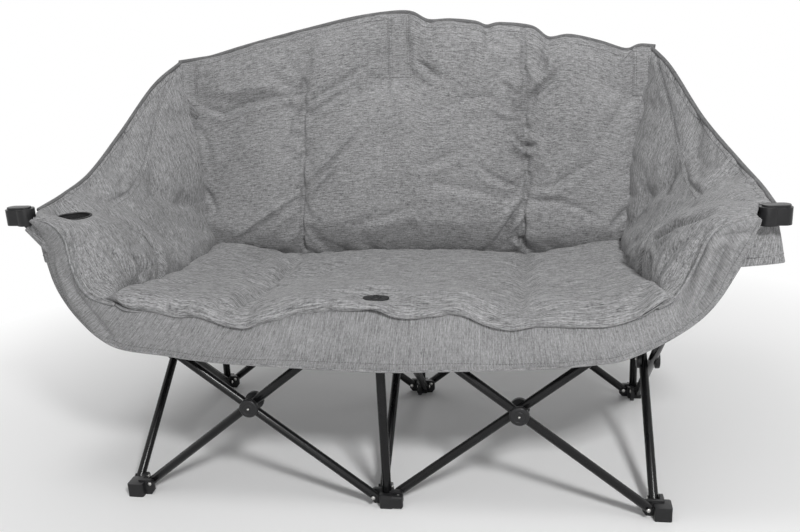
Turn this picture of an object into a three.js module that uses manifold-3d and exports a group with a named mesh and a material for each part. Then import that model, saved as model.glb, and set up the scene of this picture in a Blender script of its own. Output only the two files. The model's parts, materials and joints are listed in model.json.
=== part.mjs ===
// Folding camping loveseat: a double folding frame of crossed tubes that carries a padded bucket cover.
// Millimetres, +Z up. The front faces -Y. The origin is on the ground, in the middle of the outline.

import * as THREE from 'three';
import { mergeVertices } from 'three/addons/utils/BufferGeometryUtils.js';
import Module from 'manifold-3d';

const wasm = await Module();
wasm.setup();

// Frame: driving dimensions
const BAY = 525;              // hub to hub, across and from front to rear
const OPEN_ANGLE = 38;        // slope of the crossed tubes when open, in degrees
const TUBE_D = 18;
const TUBE_WALL = 1.2;
const TUBE_END = 5;           // tube beyond its end pivots
const PIVOT_OUT = 24;         // hub centre to tube pivot
const PIVOT_Z = 24;           // foot pivot above the ground
const FOOT_H = 29;
const HUB_H = 30;             // height of the upper hubs
const ARM_TIP_OUT = 152;      // middle of the arm end beyond the outer hubs
const ARM_TIP_RISE = 194;     // and above the upper pivots
const ARM_BEND_AT = 36;       // the arm tube bends this far past its bracket
const CORNER_POLE_RISE = 439.3; // top of the corner poles above the upper pivots
const CENTRE_POLE_RISE = 525.3;

// Frame: plastic pieces
const EAR_T = 8;
const EAR_R = 8.5;
const BOSS_IN = 13;           // boss edge on a side where a tube swings
const BOSS_OUT = 20;          // boss edge on a free side
const PIN_R = 2.6;
const HEAD_R = 5;
const HEAD_T = 2;
const CAP_R = 19;
const CAP_T = 5;              // cap height beyond its tube
const ARM_END_R = 18;
const ARM_END_H = 32;
const ARM_END_REACH = 38;
const PLATE_L = 50;
const PLATE_W = 27;
const PLATE_T = 4;

// Cover: driving dimensions
const BACK_OVER_POLE = 13;     // top edge of the back above its poles
const BACK_LEAN = 47.5;        // the back's foot in front of its top
const BACK_T = 24;
const BACK_SWELL = 16;        // padding between the seams of the back, over that
const SEAT_ON_HUB = 21.3;      // seat pad over the front centre hub
const SEAT_FALL = 41;          // from there down to the rear of the seat
const SEAT_T = 28;
const SEAT_SWELL = 13;        // and between the seams of the seat
const SEAT_FRONT_OUT = 56;    // seat edge in front of the front hubs
const ARM_OVER_TIP = 13.3;     // top of the arm pads above the arm tube's tip
const WING_T = 17;
const ARM_T = 20;
const BAND_T = 8;
const BAND_OUT = 43.5;        // middle of the front band in front of the front hubs
const HEM_DROP = 127;          // hem of the front band below the seat's middle
const FLAP_T = 5;
const FLAP_DROP = 112;
const FLAP_OUT = 27;
const RIM = 0.4;              // share of the thickness that a pad keeps at its edge
const POCKET_W = 38;
const POCKET_L = 150;
const CUP_R = 37;
const CUP_DEPTH = 96;
const CUP_WALL = 2;

// Clearances
const GAP = 0.4;              // between pieces that touch
const TUBE_GAP = 2;           // between two tubes that cross
const PIN_GAP = 0.5;
const SEAM_GAP = 2;           // between two sewn panels

// Facets
const SIDES = 10;
const PIN_SIDES = 6;

// Worked out
const R = TUBE_D / 2;
const OFFSET = R + TUBE_GAP / 2;
const SLOPE = THREE.MathUtils.degToRad(OPEN_ANGLE);
const SPAN = BAY - 2 * PIVOT_OUT;
const BAR = SPAN / Math.cos(SLOPE);
const TOP_Z = PIVOT_Z + SPAN * Math.tan(SLOPE);
const FRONT = -BAY / 2;
const REAR = BAY / 2;
const FRONT_REACH = BAY / 2 + SEAT_FRONT_OUT;
const REAR_REACH = BAY / 2 + BOSS_OUT;
const TIP_X = BAY + ARM_TIP_OUT;
const TIP_Z = TOP_Z + ARM_TIP_RISE;
const CORNER_POLE_TOP = TOP_Z + CORNER_POLE_RISE;
const CENTRE_POLE_TOP = TOP_Z + CENTRE_POLE_RISE;
const BACK_CORNER_Z = CORNER_POLE_TOP + BACK_OVER_POLE;
const BACK_CENTRE_Z = CENTRE_POLE_TOP + BACK_OVER_POLE;
const SEAT_CENTRE_Z = TOP_Z + HUB_H / 2 + SEAT_ON_HUB;
const SEAT_REAR_Z = SEAT_CENTRE_Z - SEAT_FALL;
const BACK_FOOT_Z = SEAT_REAR_Z - SEAT_T / 4;
const ARM_TOP_Z = TIP_Z + ARM_OVER_TIP;
const HEM_Z = SEAT_CENTRE_Z - HEM_DROP;
const SEAM_AT = BAY / 2;      // the two sewn seams of seat and back, from the middle

// Materials
const steel = () => new THREE.MeshStandardMaterial({ color: 0x17181a, roughness: 0.35, metalness: 0.6 });
const plastic = () => new THREE.MeshStandardMaterial({ color: 0x141416, roughness: 0.55, metalness: 0 });
const cloth = () => new THREE.MeshStandardMaterial({ color: 0x7d7d7f, roughness: 0.95, metalness: 0 });
const lining = () => new THREE.MeshStandardMaterial({ color: 0x1c1c1e, roughness: 0.9, metalness: 0 });

const V = (x, y, z) => new THREE.Vector3(x, y, z);
const round = (sides, r) => r / Math.cos(Math.PI / sides);

// Booleans

function solid(geometry) {
  const bare = geometry.index ? geometry.toNonIndexed() : geometry.clone();
  bare.deleteAttribute('normal');
  bare.deleteAttribute('uv');
  const merged = mergeVertices(bare, 1e-4);
  return new wasm.Manifold(new wasm.Mesh({
    numProp: 3,
    vertProperties: new Float32Array(merged.attributes.position.array),
    triVerts: new Uint32Array(merged.index.array),
  }));
}

function geometryOf(manifold) {
  const mesh = manifold.getMesh();
  const geometry = new THREE.BufferGeometry();
  geometry.setAttribute('position', new THREE.BufferAttribute(mesh.vertProperties, 3));
  geometry.setIndex(new THREE.BufferAttribute(mesh.triVerts, 1));
  geometry.computeVertexNormals();
  return geometry;
}

const joined = (solids) => solids.reduce((a, b) => a.add(b));
const cut = (body, tools) => tools.reduce((a, b) => a.subtract(b), body);

// What is left of a body beside its neighbour, with a gap towards each of the given directions
function beside(body, neighbour, ...ways) {
  const moved = ways.map((way) => neighbour.translate(...way.map((w) => w * GAP)));
  return cut(body, moved);
}

// Basic solids

function rod(radius, from, to, sides = SIDES) {
  const axis = to.clone().sub(from);
  const geometry = new THREE.CylinderGeometry(radius, radius, axis.length(), sides);
  geometry.applyQuaternion(new THREE.Quaternion().setFromUnitVectors(V(0, 1, 0), axis.clone().normalize()));
  geometry.translate(...from.clone().add(to).multiplyScalar(0.5).toArray());
  return solid(geometry);
}

function slab(shape, depth, basis, origin) {
  const geometry = new THREE.ExtrudeGeometry(shape, { depth, bevelEnabled: false, curveSegments: 3 });
  geometry.applyMatrix4(basis.clone().setPosition(origin));
  return solid(geometry);
}

function boxed(x0, x1, y0, y1, z0, z1, r = 4) {
  const shape = new THREE.Shape();
  shape.absarc(x1 - r, y1 - r, r, 0, Math.PI / 2);
  shape.absarc(x0 + r, y1 - r, r, Math.PI / 2, Math.PI);
  shape.absarc(x0 + r, y0 + r, r, Math.PI, Math.PI * 1.5);
  shape.absarc(x1 - r, y0 + r, r, Math.PI * 1.5, Math.PI * 2);
  return slab(shape, z1 - z0, new THREE.Matrix4(), V(0, 0, z0));
}

function mesh(name, manifold, material) {
  const piece = new THREE.Mesh(geometryOf(manifold), material);
  piece.name = name;
  return piece;
}

// Tubes: each lies along its own +X, from its foot pivot at the origin, with its pins along Y

// A path through a few stations, with a section of the tube at each of them
class Stations extends THREE.Curve {
  constructor(points) {
    super();
    this.points = points;
  }

  getPoint(t) {
    const place = t * (this.points.length - 1);
    const k = Math.min(Math.floor(place), this.points.length - 2);
    return this.points[k].clone().lerp(this.points[k + 1], place - k);
  }

  getPointAt(t) {
    return this.getPoint(t);
  }

  getTangentAt(t) {
    const step = 0.5 / (this.points.length - 1);
    return this.getPoint(Math.min(1, t + step)).sub(this.getPoint(Math.max(0, t - step))).normalize();
  }
}

function ring(radius) {
  const corners = Array.from({ length: SIDES }, (_, i) => (i * 2 * Math.PI) / SIDES);
  return corners.map((a) => new THREE.Vector2(radius * Math.cos(a), radius * Math.sin(a)));
}

function hollowTube(points) {
  const section = new THREE.Shape(ring(R));
  section.holes.push(new THREE.Path(ring(R - TUBE_WALL)));
  const extrudePath = new Stations(points);
  return solid(new THREE.ExtrudeGeometry(section, { steps: points.length - 1, extrudePath }));
}

function pinHole(x) {
  return rod(round(PIN_SIDES, PIN_R + PIN_GAP), V(x, -R - 1, 0), V(x, R + 1, 0), PIN_SIDES);
}

const pinHoles = () => [0, BAR / 2, BAR].map(pinHole);

function crossTube() {
  return cut(hollowTube([V(-TUBE_END, 0, 0), V(BAR + TUBE_END, 0, 0)]), pinHoles());
}

// Bend and tip of the arm tube, in the tube's own frame
const ARM_BEND = V(BAR + ARM_BEND_AT, 0, 0);
const ARM_TIP = V(TIP_X - PIVOT_OUT, 0, TIP_Z - PIVOT_Z).applyAxisAngle(V(0, 1, 0), SLOPE);

function armTube() {
  const before = ARM_BEND.clone().setX(ARM_BEND.x - TUBE_D / 2);
  const after = ARM_BEND.clone().lerp(ARM_TIP, TUBE_D / 2 / ARM_BEND.distanceTo(ARM_TIP));
  return cut(hollowTube([V(-TUBE_END, 0, 0), before, after, ARM_TIP]), pinHoles());
}

// Round caps on the two outer faces of a crossing; the pinned one holds the crossing rivet

function capDisc(sign) {
  const inner = 4;
  const outer = R + CAP_T;
  const profile = [[0, inner], [CAP_R, inner], [CAP_R, outer - 3], [CAP_R - 4, outer], [0, outer]];
  const disc = new THREE.LatheGeometry(profile.map((p) => new THREE.Vector2(...p)), 12);
  if (sign < 0) disc.rotateX(Math.PI);
  disc.translate(BAR / 2, 0, 0);
  const channel = rod(round(SIDES, R + GAP), V(BAR / 2 - 2 * CAP_R, 0, 0), V(BAR / 2 + 2 * CAP_R, 0, 0));
  return solid(disc).subtract(channel);
}

function pinnedCap(sign) {
  const far = 2 * OFFSET + R + CAP_T - 2;
  const pin = rod(PIN_R, V(BAR / 2, sign * (R + CAP_T - 1), 0), V(BAR / 2, -sign * far, 0), PIN_SIDES);
  return capDisc(sign).add(pin);
}

function plainCap(sign) {
  const end = V(BAR / 2, sign * (R + CAP_T + 1), 0);
  const hole = rod(round(PIN_SIDES, PIN_R + PIN_GAP), V(BAR / 2, 0, 0), end, PIN_SIDES);
  return capDisc(sign).subtract(hole);
}

// A tube with its cap, set on its foot pivot. along is the tube's run, side the plane that it keeps to
function placedTube({ name, cap, foot, along, side, arm, pinned }) {
  const lengthwise = V(along[0], along[1], 0);
  const across = along[0] ? V(0, 1, 0) : V(1, 0, 0);
  const x = lengthwise.clone().multiplyScalar(Math.cos(SLOPE)).add(V(0, 0, Math.sin(SLOPE)));
  const z = lengthwise.clone().multiplyScalar(-Math.sin(SLOPE)).add(V(0, 0, Math.cos(SLOPE)));
  const y = z.clone().cross(x);
  const sign = side * Math.sign(y.dot(across));
  const group = new THREE.Group();
  group.position.set(foot[0], foot[1], PIVOT_Z);
  group.position.addScaledVector(lengthwise, PIVOT_OUT).addScaledVector(across, side * OFFSET);
  group.quaternion.setFromRotationMatrix(new THREE.Matrix4().makeBasis(x, y, z));
  group.add(mesh(name, arm ? armTube() : crossTube(), steel()));
  group.add(mesh(cap, pinned ? pinnedCap(sign) : plainCap(sign), plastic()));
  return group;
}

// Hubs: a boss with an ear and a pin for each tube, with the pivots at z = 0

function ear({ along, side, low, far = false, start = 0 }) {
  const x = V(along[0], along[1], 0);
  const z = V(0, 0, 1);
  const depth = x.clone().cross(z);
  const across = along[0] ? V(0, 1, 0) : V(1, 0, 0);
  const face = far ? OFFSET + R + GAP : OFFSET - R - GAP;
  const back = far ? face + EAR_T : face - EAR_T;
  const [near, away] = [Math.min(side * face, side * back), Math.max(side * face, side * back)];
  const begin = depth.dot(across) > 0 ? near : away;
  const tip = PIVOT_OUT + EAR_R;
  const shape = new THREE.Shape();
  if (low < -EAR_R - 1) {
    shape.moveTo(start, low);
    shape.lineTo(tip - 7, low);
    shape.lineTo(tip, low + 9);
    shape.absarc(PIVOT_OUT, 0, EAR_R, 0, Math.PI / 2);
  } else {
    shape.moveTo(start, -EAR_R);
    shape.absarc(PIVOT_OUT, 0, EAR_R, -Math.PI / 2, Math.PI / 2);
  }
  shape.lineTo(start, EAR_R);
  const basis = new THREE.Matrix4().makeBasis(x, z, depth);
  const plate = slab(shape, EAR_T, basis, across.clone().multiplyScalar(begin));
  const at = (p) => x.clone().multiplyScalar(PIVOT_OUT).addScaledVector(across, side * p);
  const head = far ? OFFSET - R - GAP : OFFSET + R + GAP;
  const end = far ? head - HEAD_T : head + HEAD_T;
  const pin = rod(PIN_R, at((face + back) / 2), at((head + end) / 2), PIN_SIDES);
  return joined([plate, pin, rod(HEAD_R, at(head), at(end), PIN_SIDES)]);
}

const postHole = (z0, z1) => rod(round(SIDES, R + GAP), V(0, 0, z0), V(0, 0, z1));

function bossOf(arms, z0, z1) {
  const edge = (x, y) => (arms.some((a) => a.along[0] === x && a.along[1] === y) ? BOSS_IN : BOSS_OUT);
  return boxed(-edge(-1, 0), edge(1, 0), -edge(0, -1), edge(0, 1), z0, z1);
}

function footHub(arms, post) {
  const top = FOOT_H - PIVOT_Z;
  const ears = arms.map((a) => ear({ ...a, low: -PIVOT_Z }));
  const body = joined([bossOf(arms, -PIVOT_Z, top), ...ears]);
  return post ? body.subtract(postHole(-PIVOT_Z + 6, Math.max(top, EAR_R) + 1)) : body;
}

function slidingHub(arms, through) {
  const ears = arms.map((a) => ear({ ...a, low: -EAR_R }));
  const body = joined([bossOf(arms, -HUB_H / 2, HUB_H / 2), ...ears]);
  return body.subtract(postHole(-HUB_H / 2 - 1, through ? HUB_H / 2 + 1 : HUB_H / 2 - 6));
}

// The bracket on an arm tube keeps behind it: tubeSide is the plane of the arm tube
function armBracket(inward, tubeSide) {
  const behind = tubeSide < 0 ? -(OFFSET - R - GAP) : OFFSET + R + GAP;
  const armEar = ear({ along: [inward, 0], side: tubeSide, low: -EAR_R, far: tubeSide > 0 });
  const sideEar = ear({ along: [0, 1], side: 1, low: -EAR_R, start: behind });
  const y1 = behind + EAR_T + 5;
  const edge = OFFSET - R - GAP;
  const boss = boxed(-BOSS_IN, edge, behind, y1, -EAR_R, EAR_R, 2);
  return joined([boss, armEar, sideEar]);
}

// Posts and poles
const uprightPole = (top) => cut(
  rod(R, V(0, 0, 6 + GAP), V(0, 0, top)),
  [rod(R - TUBE_WALL, V(0, 0, 0), V(0, 0, top - 3))],
);

// Arm ends: an upright barrel on the tube's tip, drawn out to a rounded end, with a raised lip on top

function armEnd(sign) {
  const barrel = rod(ARM_END_R, V(0, 0, -ARM_END_H / 2), V(0, 0, ARM_END_H / 2), 16);
  const [half, high] = [ARM_END_R - 3, ARM_END_H / 2 - 1];
  const across = (x0, x1) => (sign > 0 ? [x0, x1] : [-x1, -x0]);
  const block = boxed(...across(0, ARM_END_REACH), -half, half, -high, high, half - 2);
  const ring = half - 3;
  const lip = boxed(...across(-ring, ARM_END_REACH - 3), -ring, ring, high - 1, ARM_END_H / 2 + 3, ring - 0.1);
  const entry = ARM_BEND.clone().sub(ARM_TIP).applyAxisAngle(V(0, 1, 0), -SLOPE);
  if (sign < 0) entry.x *= -1;
  const bore = rod(round(SIDES, R + GAP), entry.clone().normalize().multiplyScalar(-GAP), entry);
  return cut(joined([barrel, lip, block]), [bore]);
}

// Soft forms: smooth sheets through rows of points, with a thickness towards their outer side

function sheet(rows) {
  const curves = rows.map((row) => new THREE.CatmullRomCurve3(row));
  return (u, v) => new THREE.CatmullRomCurve3(curves.map((c) => c.getPoint(u))).getPoint(v);
}

function normalAt(surface, u, v) {
  const e = 1e-3;
  const clamp = (t) => Math.min(1, Math.max(0, t));
  const du = surface(clamp(u + e), v).sub(surface(clamp(u - e), v));
  const dv = surface(u, clamp(v + e)).sub(surface(u, clamp(v - e)));
  return du.cross(dv).normalize();
}

// A closed pad between a sheet and its offset; us and vs are the places of its columns and rows
function pad(surface, us, vs, thickness, flip = 1) {
  const points = [];
  for (const outer of [0, 1]) {
    for (const u of us) {
      for (const v of vs) {
        const p = surface(u, v);
        if (outer) p.addScaledVector(normalAt(surface, u, v), flip * thickness(u, v, p));
        points.push(p);
      }
    }
  }
  const n = vs.length;
  const layer = us.length * n;
  const at = (side, i, j) => side * layer + i * n + j;
  const faces = [];
  const quad = (a, b, c, d) => faces.push(a, b, c, a, c, d);
  for (let i = 0; i + 1 < us.length; i += 1) {
    for (let j = 0; j + 1 < n; j += 1) {
      quad(at(0, i, j), at(0, i + 1, j), at(0, i + 1, j + 1), at(0, i, j + 1));
      quad(at(1, i, j), at(1, i, j + 1), at(1, i + 1, j + 1), at(1, i + 1, j));
    }
    quad(at(0, i, 0), at(1, i, 0), at(1, i + 1, 0), at(0, i + 1, 0));
    quad(at(0, i, n - 1), at(0, i + 1, n - 1), at(1, i + 1, n - 1), at(1, i, n - 1));
  }
  const m = us.length - 1;
  for (let j = 0; j + 1 < n; j += 1) {
    quad(at(0, 0, j), at(0, 0, j + 1), at(1, 0, j + 1), at(1, 0, j));
    quad(at(0, m, j), at(1, m, j), at(1, m, j + 1), at(0, m, j + 1));
  }
  let volume = 0;
  for (let k = 0; k < faces.length; k += 3) {
    volume += points[faces[k]].dot(points[faces[k + 1]].clone().cross(points[faces[k + 2]]));
  }
  if (volume < 0) faces.reverse();
  return new wasm.Manifold(new wasm.Mesh({
    numProp: 3,
    vertProperties: new Float32Array(points.flatMap((p) => p.toArray())),
    triVerts: new Uint32Array(faces),
  }));
}

const steps = (n) => Array.from({ length: n + 1 }, (_, i) => i / n);
const crown = (t) => RIM + (1 - RIM) * Math.min(1, 4 * t * (1 - t) * 1.6);
const dip = (x, at, width) => Math.exp(-(((x - at) / width) ** 2));
const seams = (x) => 1 - 0.5 * (dip(Math.abs(x), SEAM_AT, 16));
// Share of the swell across a pad with two seams: none on a seam or at the edge, all of it between them
function swellAcross(x, edge) {
  const out = Math.abs(x);
  const t = out < SEAM_AT ? (out + SEAM_AT) / (2 * SEAM_AT) : (out - SEAM_AT) / (edge - SEAM_AT);
  return Math.sqrt(Math.max(0, 4 * t * (1 - t)));
}
const swellAlong = (v) => Math.min(1, Math.max(0, 10 * (v - 0.12) * (1 - v)));
const bothWays = (half) => [...half.slice(1).reverse().map(([x, ...rest]) => [-x, ...rest]), ...half];

// The tables below hold shares of the named sizes.
// A level is 0 at the rear of the seat, 1 on the arms and 2 at the corners of the back
const lerp = THREE.MathUtils.lerp;
const level = (s) => (s < 1 ? lerp(SEAT_REAR_Z, ARM_TOP_Z, s) : lerp(ARM_TOP_Z, BACK_CORNER_Z, s - 1));
const beyond = (s) => BAY + s * ARM_TIP_OUT;

// Seat: rows run across, from the front edge to the rear
const SEAT_HALF = [
  [0, 0, 0],
  [0.23, -0.43, -0.11],
  [0.5, -1.18, -0.21],
  [0.82, -0.36, 0.21],
  [0.992, 0.5, 1.07],
].map(([x, front, rear]) => [x * BAY, front * SEAT_T, rear * SEAT_T]);

// Depth of the back's rear face, for a lean of 0 at its top and 1 at its foot
const backAt = (lean) => REAR - R - GAP - 3 - lean * BACK_LEAN;

function seatSurface() {
  const row = (y, base, lift, narrow) => bothWays(SEAT_HALF).map(([x, front, rear]) => (
    V(x * narrow, y, base + front * (1 - lift) + rear * lift)
  ));
  return sheet([
    row(FRONT - SEAT_FRONT_OUT, SEAT_CENTRE_Z - 0.43 * SEAT_T, 0, 0.985),
    row(FRONT - SEAT_FRONT_OUT + 0.86 * SEAT_T, SEAT_CENTRE_Z, 0, 0.99),
    row(FRONT / 2, SEAT_REAR_Z + 0.43 * SEAT_FALL, 0.5, 0.96),
    row(0, SEAT_REAR_Z + 0.12 * SEAT_FALL, 0.75, 0.945),
    row(backAt(1) - RIM * BACK_T - SEAM_GAP, SEAT_REAR_Z, 1, 0.935),
  ]);
}

function seatPad() {
  const top = seatSurface();
  const edge = SEAT_HALF.at(-1)[0];
  const rows = [0, 0.05, 0.12, 0.22, 0.34, 0.48, 0.62, 0.76, 0.88, 1];
  const hubRelief = (p) => 1 - 0.14 * dip(p.x, 0, 80) * dip(p.y, FRONT, 90);
  const swell = (v, p) => SEAT_SWELL * swellAcross(p.x, edge) * swellAlong(v) * (1 - dip(p.y, FRONT, 60));
  const swollen = (u, v) => {
    const p = top(u, v);
    return p.setZ(p.z + swell(v, p));
  };
  const thickness = (u, v, p) => (
    SEAT_T * Math.min(crown(u), crown(v)) * seams(p.x) * hubRelief(p) + swell(v, p)
  );
  const cushion = pad(swollen, steps(28), rows, thickness, -1);
  const [x, y, z] = [BOSS_IN + GAP, BOSS_OUT + GAP, TOP_Z + HUB_H / 2 + GAP];
  const hub = boxed(-x, x, FRONT - y, FRONT + x, z - HUB_H, z);
  const reach = PIVOT_OUT + EAR_R + 4;
  const ears = boxed(-reach, reach, FRONT - reach, FRONT + reach, TOP_Z - HUB_H, TOP_Z + R + 2);
  return cut(cushion, [hub, ears]);
}

function seatPlate(seat) {
  const [x, y, z] = [PLATE_L / 2, PLATE_W / 2, SEAT_CENTRE_Z - 2 * PLATE_T];
  const oval = boxed(-x, x, FRONT - y, FRONT + y, z, SEAT_CENTRE_Z + PLATE_T / 2, y - 0.1);
  const knob = rod(y * 0.8, V(0, FRONT, z), V(0, FRONT, SEAT_CENTRE_Z + PLATE_T), 16);
  return oval.add(knob).subtract(seat.translate(0, 0, GAP));
}

// Back: columns run across, rows from the seat up
const BACK_TOP_HALF = [
  [0, 1],
  [0.24, 0.82],
  [0.5, 0.545],
  [0.762, 0.227],
  [0.895, 0.045],
  [1.0076, 0],
].map(([x, rise]) => [x * BAY, lerp(BACK_CORNER_Z, BACK_CENTRE_Z, rise)]);

function backSurface() {
  const rearAt = [1, 0.45, 0.095, 0].map(backAt);
  const top = bothWays(BACK_TOP_HALF);
  return sheet(rearAt.map((y, k) => top.map(([x, z]) => {
    const share = k / (rearAt.length - 1);
    return V(x * (0.945 + 0.055 * share), y, BACK_FOOT_Z + (z - BACK_FOOT_Z) * share);
  })));
}

function backPad() {
  const rear = backSurface();
  const edge = BACK_TOP_HALF.at(-1)[0];
  const thickness = (u, v, p) => (
    BACK_T * Math.min(crown(u), crown(v)) * seams(p.x) + BACK_SWELL * swellAcross(p.x, edge) * swellAlong(v)
  );
  const panel = pad(rear, steps(30), steps(9), thickness, 1);
  const pockets = [[-BAY, CORNER_POLE_TOP], [0, CENTRE_POLE_TOP], [BAY, CORNER_POLE_TOP]].map(([x, top]) => (
    boxed(x - POCKET_W / 2, x + POCKET_W / 2, REAR - 20, REAR + R + 6, top - POCKET_L, top + 4, 6)
  ));
  const poles = [-BAY, 0, BAY].map((x) => {
    const end = (x ? CORNER_POLE_TOP : CENTRE_POLE_TOP) + GAP;
    return rod(round(SIDES, R + GAP), V(x, REAR, 0), V(x, REAR, end));
  });
  return cut(joined([panel, ...pockets]), poles);
}

// The cup holder's place in the left arm, and the room that it takes
const CUP_AT = V(-beyond(0.546), FRONT + ARM_END_R + 1.26 * CUP_R, ARM_TOP_Z - ARM_T / 5);
const cupRoom = () => rod(
  CUP_R + GAP, V(CUP_AT.x, CUP_AT.y, CUP_AT.z - CUP_DEPTH), V(CUP_AT.x, CUP_AT.y, CUP_AT.z + CUP_DEPTH), 16,
);

// Wing: rows from its top edge down to the arm, columns from the rear to the front.
// armY is the plane of the arm tube on that side
const WING_ROWS = [
  [
    [0.013, 0.909, 2], [0.29, 0.693, 1.803], [0.566, 0.286, 1.418],
    [0.776, -0.21, 1.148], [0.895, -0.571, 1.041], [0.941, null, 1.016],
  ],
  [
    [-0.079, 0.848, 1.107], [0.132, 0.594, 1.09], [0.382, 0.236, 0.995],
    [0.592, -0.221, 0.962], [0.763, -0.571, 1], [0.875, null, 1.004],
  ],
  [
    [-0.178, 0.745, 0.094], [0.053, 0.465, 0.302], [0.197, 0.183, 0.528],
    [0.395, -0.229, 0.792], [0.645, -0.571, 0.953], [0.822, null, 0.99],
  ],
];

function wingSurface(sign, armY) {
  const front = armY + ARM_END_R + WING_T / 2;
  const at = ([x, y, z]) => V(sign * beyond(x), y === null ? front : y * REAR, level(z));
  return sheet(WING_ROWS.map((row) => row.map(at)));
}

function wing(sign, armY, cup, back) {
  const inner = wingSurface(sign, armY);
  const thickness = (u, v) => WING_T * Math.min(crown(u), crown(v));
  const panel = pad(inner, steps(13), steps(8), thickness, sign);
  return beside(cup ? panel.subtract(cupRoom()) : panel, back, [sign, 0, 0], [0, -1, 0]);
}

// Arm: rows from the seat up its inner face, over the edge and across its top
// Each column runs from the seat's edge, a share of the bay, out to a place beyond the outer hubs
const ARM_FROM = [0.9257, 0.9314, 0.9448, 0.958, 0.9695, 0.977];
const ARM_TO = [-0.007, 0.164, 0.349, 0.586, 0.77, 0.77];
const ARM_ROWS = [
  [
    [0, 0.587, 0.151], [0, 0.229, 0.142], [0, -0.229, 0.17],
    [0, -0.571, 0.208], [0, -0.819, 0.236], [0, null, 0.264],
  ],
  [
    [0.368, 0.571, 0.189], [0.344, 0.229, 0.283], [0.39, -0.229, 0.443],
    [0.333, -0.571, 0.538], [0.286, -0.819, 0.566], [0.302, null, 0.585],
  ],
  [
    [0.684, 0.549, 0.236], [0.77, 0.221, 0.443], [0.78, -0.236, 0.689],
    [0.604, -0.571, 0.821], [0.489, -0.819, 0.858], [0.504, null, 0.868],
  ],
  [
    [0.868, 0.541, 0.274], [0.934, 0.206, 0.481], [0.927, -0.251, 0.731],
    [0.91, -0.579, 0.896], [0.835, -0.819, 0.943], [0.798, null, 0.925],
  ],
  [
    [1, 0.533, 0.302], [1, 0.198, 0.495], [1, -0.259, 0.745],
    [1, -0.587, 0.915], [1, -0.83, 0.967], [1, null, 0.943],
  ],
];

function armSurface(sign) {
  const front = FRONT - BAND_OUT + BAND_T / 2 + SEAM_GAP;
  const at = ([out, y, z], k) => (
    V(sign * lerp(ARM_FROM[k] * BAY, beyond(ARM_TO[k]), out), y === null ? front : y * REAR, level(z))
  );
  return sheet(ARM_ROWS.map((row) => row.map(at)));
}

function armTubeClearance(sign, armY) {
  const along = (run) => (
    V(sign * (PIVOT_OUT + run * Math.cos(SLOPE)), armY, PIVOT_Z + run * Math.sin(SLOPE))
  );
  const [low, bend] = [BAR, ARM_BEND.x].map(along);
  const tip = V(sign * TIP_X, armY, TIP_Z);
  const r = R + 2.5 * GAP;
  const knee = solid(new THREE.SphereGeometry(r, SIDES, 8).translate(...bend.toArray()));
  return joined([rod(r, low, bend), knee, rod(r, bend, tip)]);
}

function armPad(sign, armY, cup, seat) {
  const thickness = (u, v) => ARM_T * Math.min(crown(u), crown(v));
  const vs = [0, 0.1, 0.22, 0.36, 0.5, 0.62, 0.74, 0.87, 1];
  const body = pad(armSurface(sign), steps(13), vs, thickness, sign);
  const tools = [armTubeClearance(sign, armY)];
  if (cup) tools.push(cupRoom());
  return beside(cut(body, tools), seat, [sign, 0, 0], [0, 0, 1], [0, 0, -1]);
}

function cupLiner() {
  const profile = [
    [0, -CUP_DEPTH], [CUP_R, -CUP_DEPTH], [CUP_R, 8], [CUP_R - CUP_WALL, 8],
    [CUP_R - CUP_WALL, CUP_WALL - CUP_DEPTH], [0, CUP_WALL - CUP_DEPTH],
  ];
  const cup = new THREE.LatheGeometry(profile.map((p) => new THREE.Vector2(...p)), 16);
  cup.rotateX(Math.PI / 2).translate(CUP_AT.x, CUP_AT.y, CUP_AT.z - 14);
  return solid(cup);
}

// Front band: one strip from arm end to arm end, with the valance hanging below the seat
const BAND_HALF = [
  [0, -0.64, 0, 0],
  [0.24 * BAY, -1.07, 0.24 * BAY, 0.01],
  [0.5 * BAY, -1.68, 0.5 * BAY, 0.034],
  [0.75 * BAY, -1.21, 0.75 * BAY, 0.074],
  [0.903 * BAY, -0.79, 0.918 * BAY, 0.134],
  [0.994 * BAY, -0.57, beyond(0.112), 0.235],
  [beyond(0.039), 0.164, beyond(0.395), 0.396],
  [beyond(0.138), 0.433, beyond(0.579), 0.611],
  [beyond(0.243), 0.655, beyond(0.69), 0.792],
  [beyond(0.355), 0.83, beyond(0.776), 0.946],
].map(([x, rise, reach, low]) => [
  x,
  SEAT_CENTRE_Z + rise * (rise < 0 ? SEAT_T : ARM_TOP_Z - SEAT_CENTRE_Z),
  reach,
  lerp(HEM_Z, ARM_TOP_Z, low),
]);

function frontBand(seat) {
  const y = FRONT - BAND_OUT - BAND_T / 2;
  const points = bothWays(BAND_HALF);
  const wave = (x, depth) => y - depth * (1 + Math.cos(x * 17 / BAY)) * dip(x, 0, 0.63 * BAY);
  const mirror = (x, value) => Math.sign(x) * Math.abs(value);
  const upper = points.map(([x, z]) => V(x, y, z));
  const lower = points.map(([x, , reach, z]) => V(mirror(x, reach), wave(x, 2.5), z));
  const middle = points.map(([x, z, reach, low]) => (
    V((x + mirror(x, reach)) / 2, wave(x, 3.5) - 2, (z + low) / 2)
  ));
  const strip = pad(sheet([upper, middle, lower]), steps(44), steps(3), () => BAND_T, 1);
  return beside(strip, seat, [0, 0, -1], [1, 0, 0], [-1, 0, 0]);
}

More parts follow.
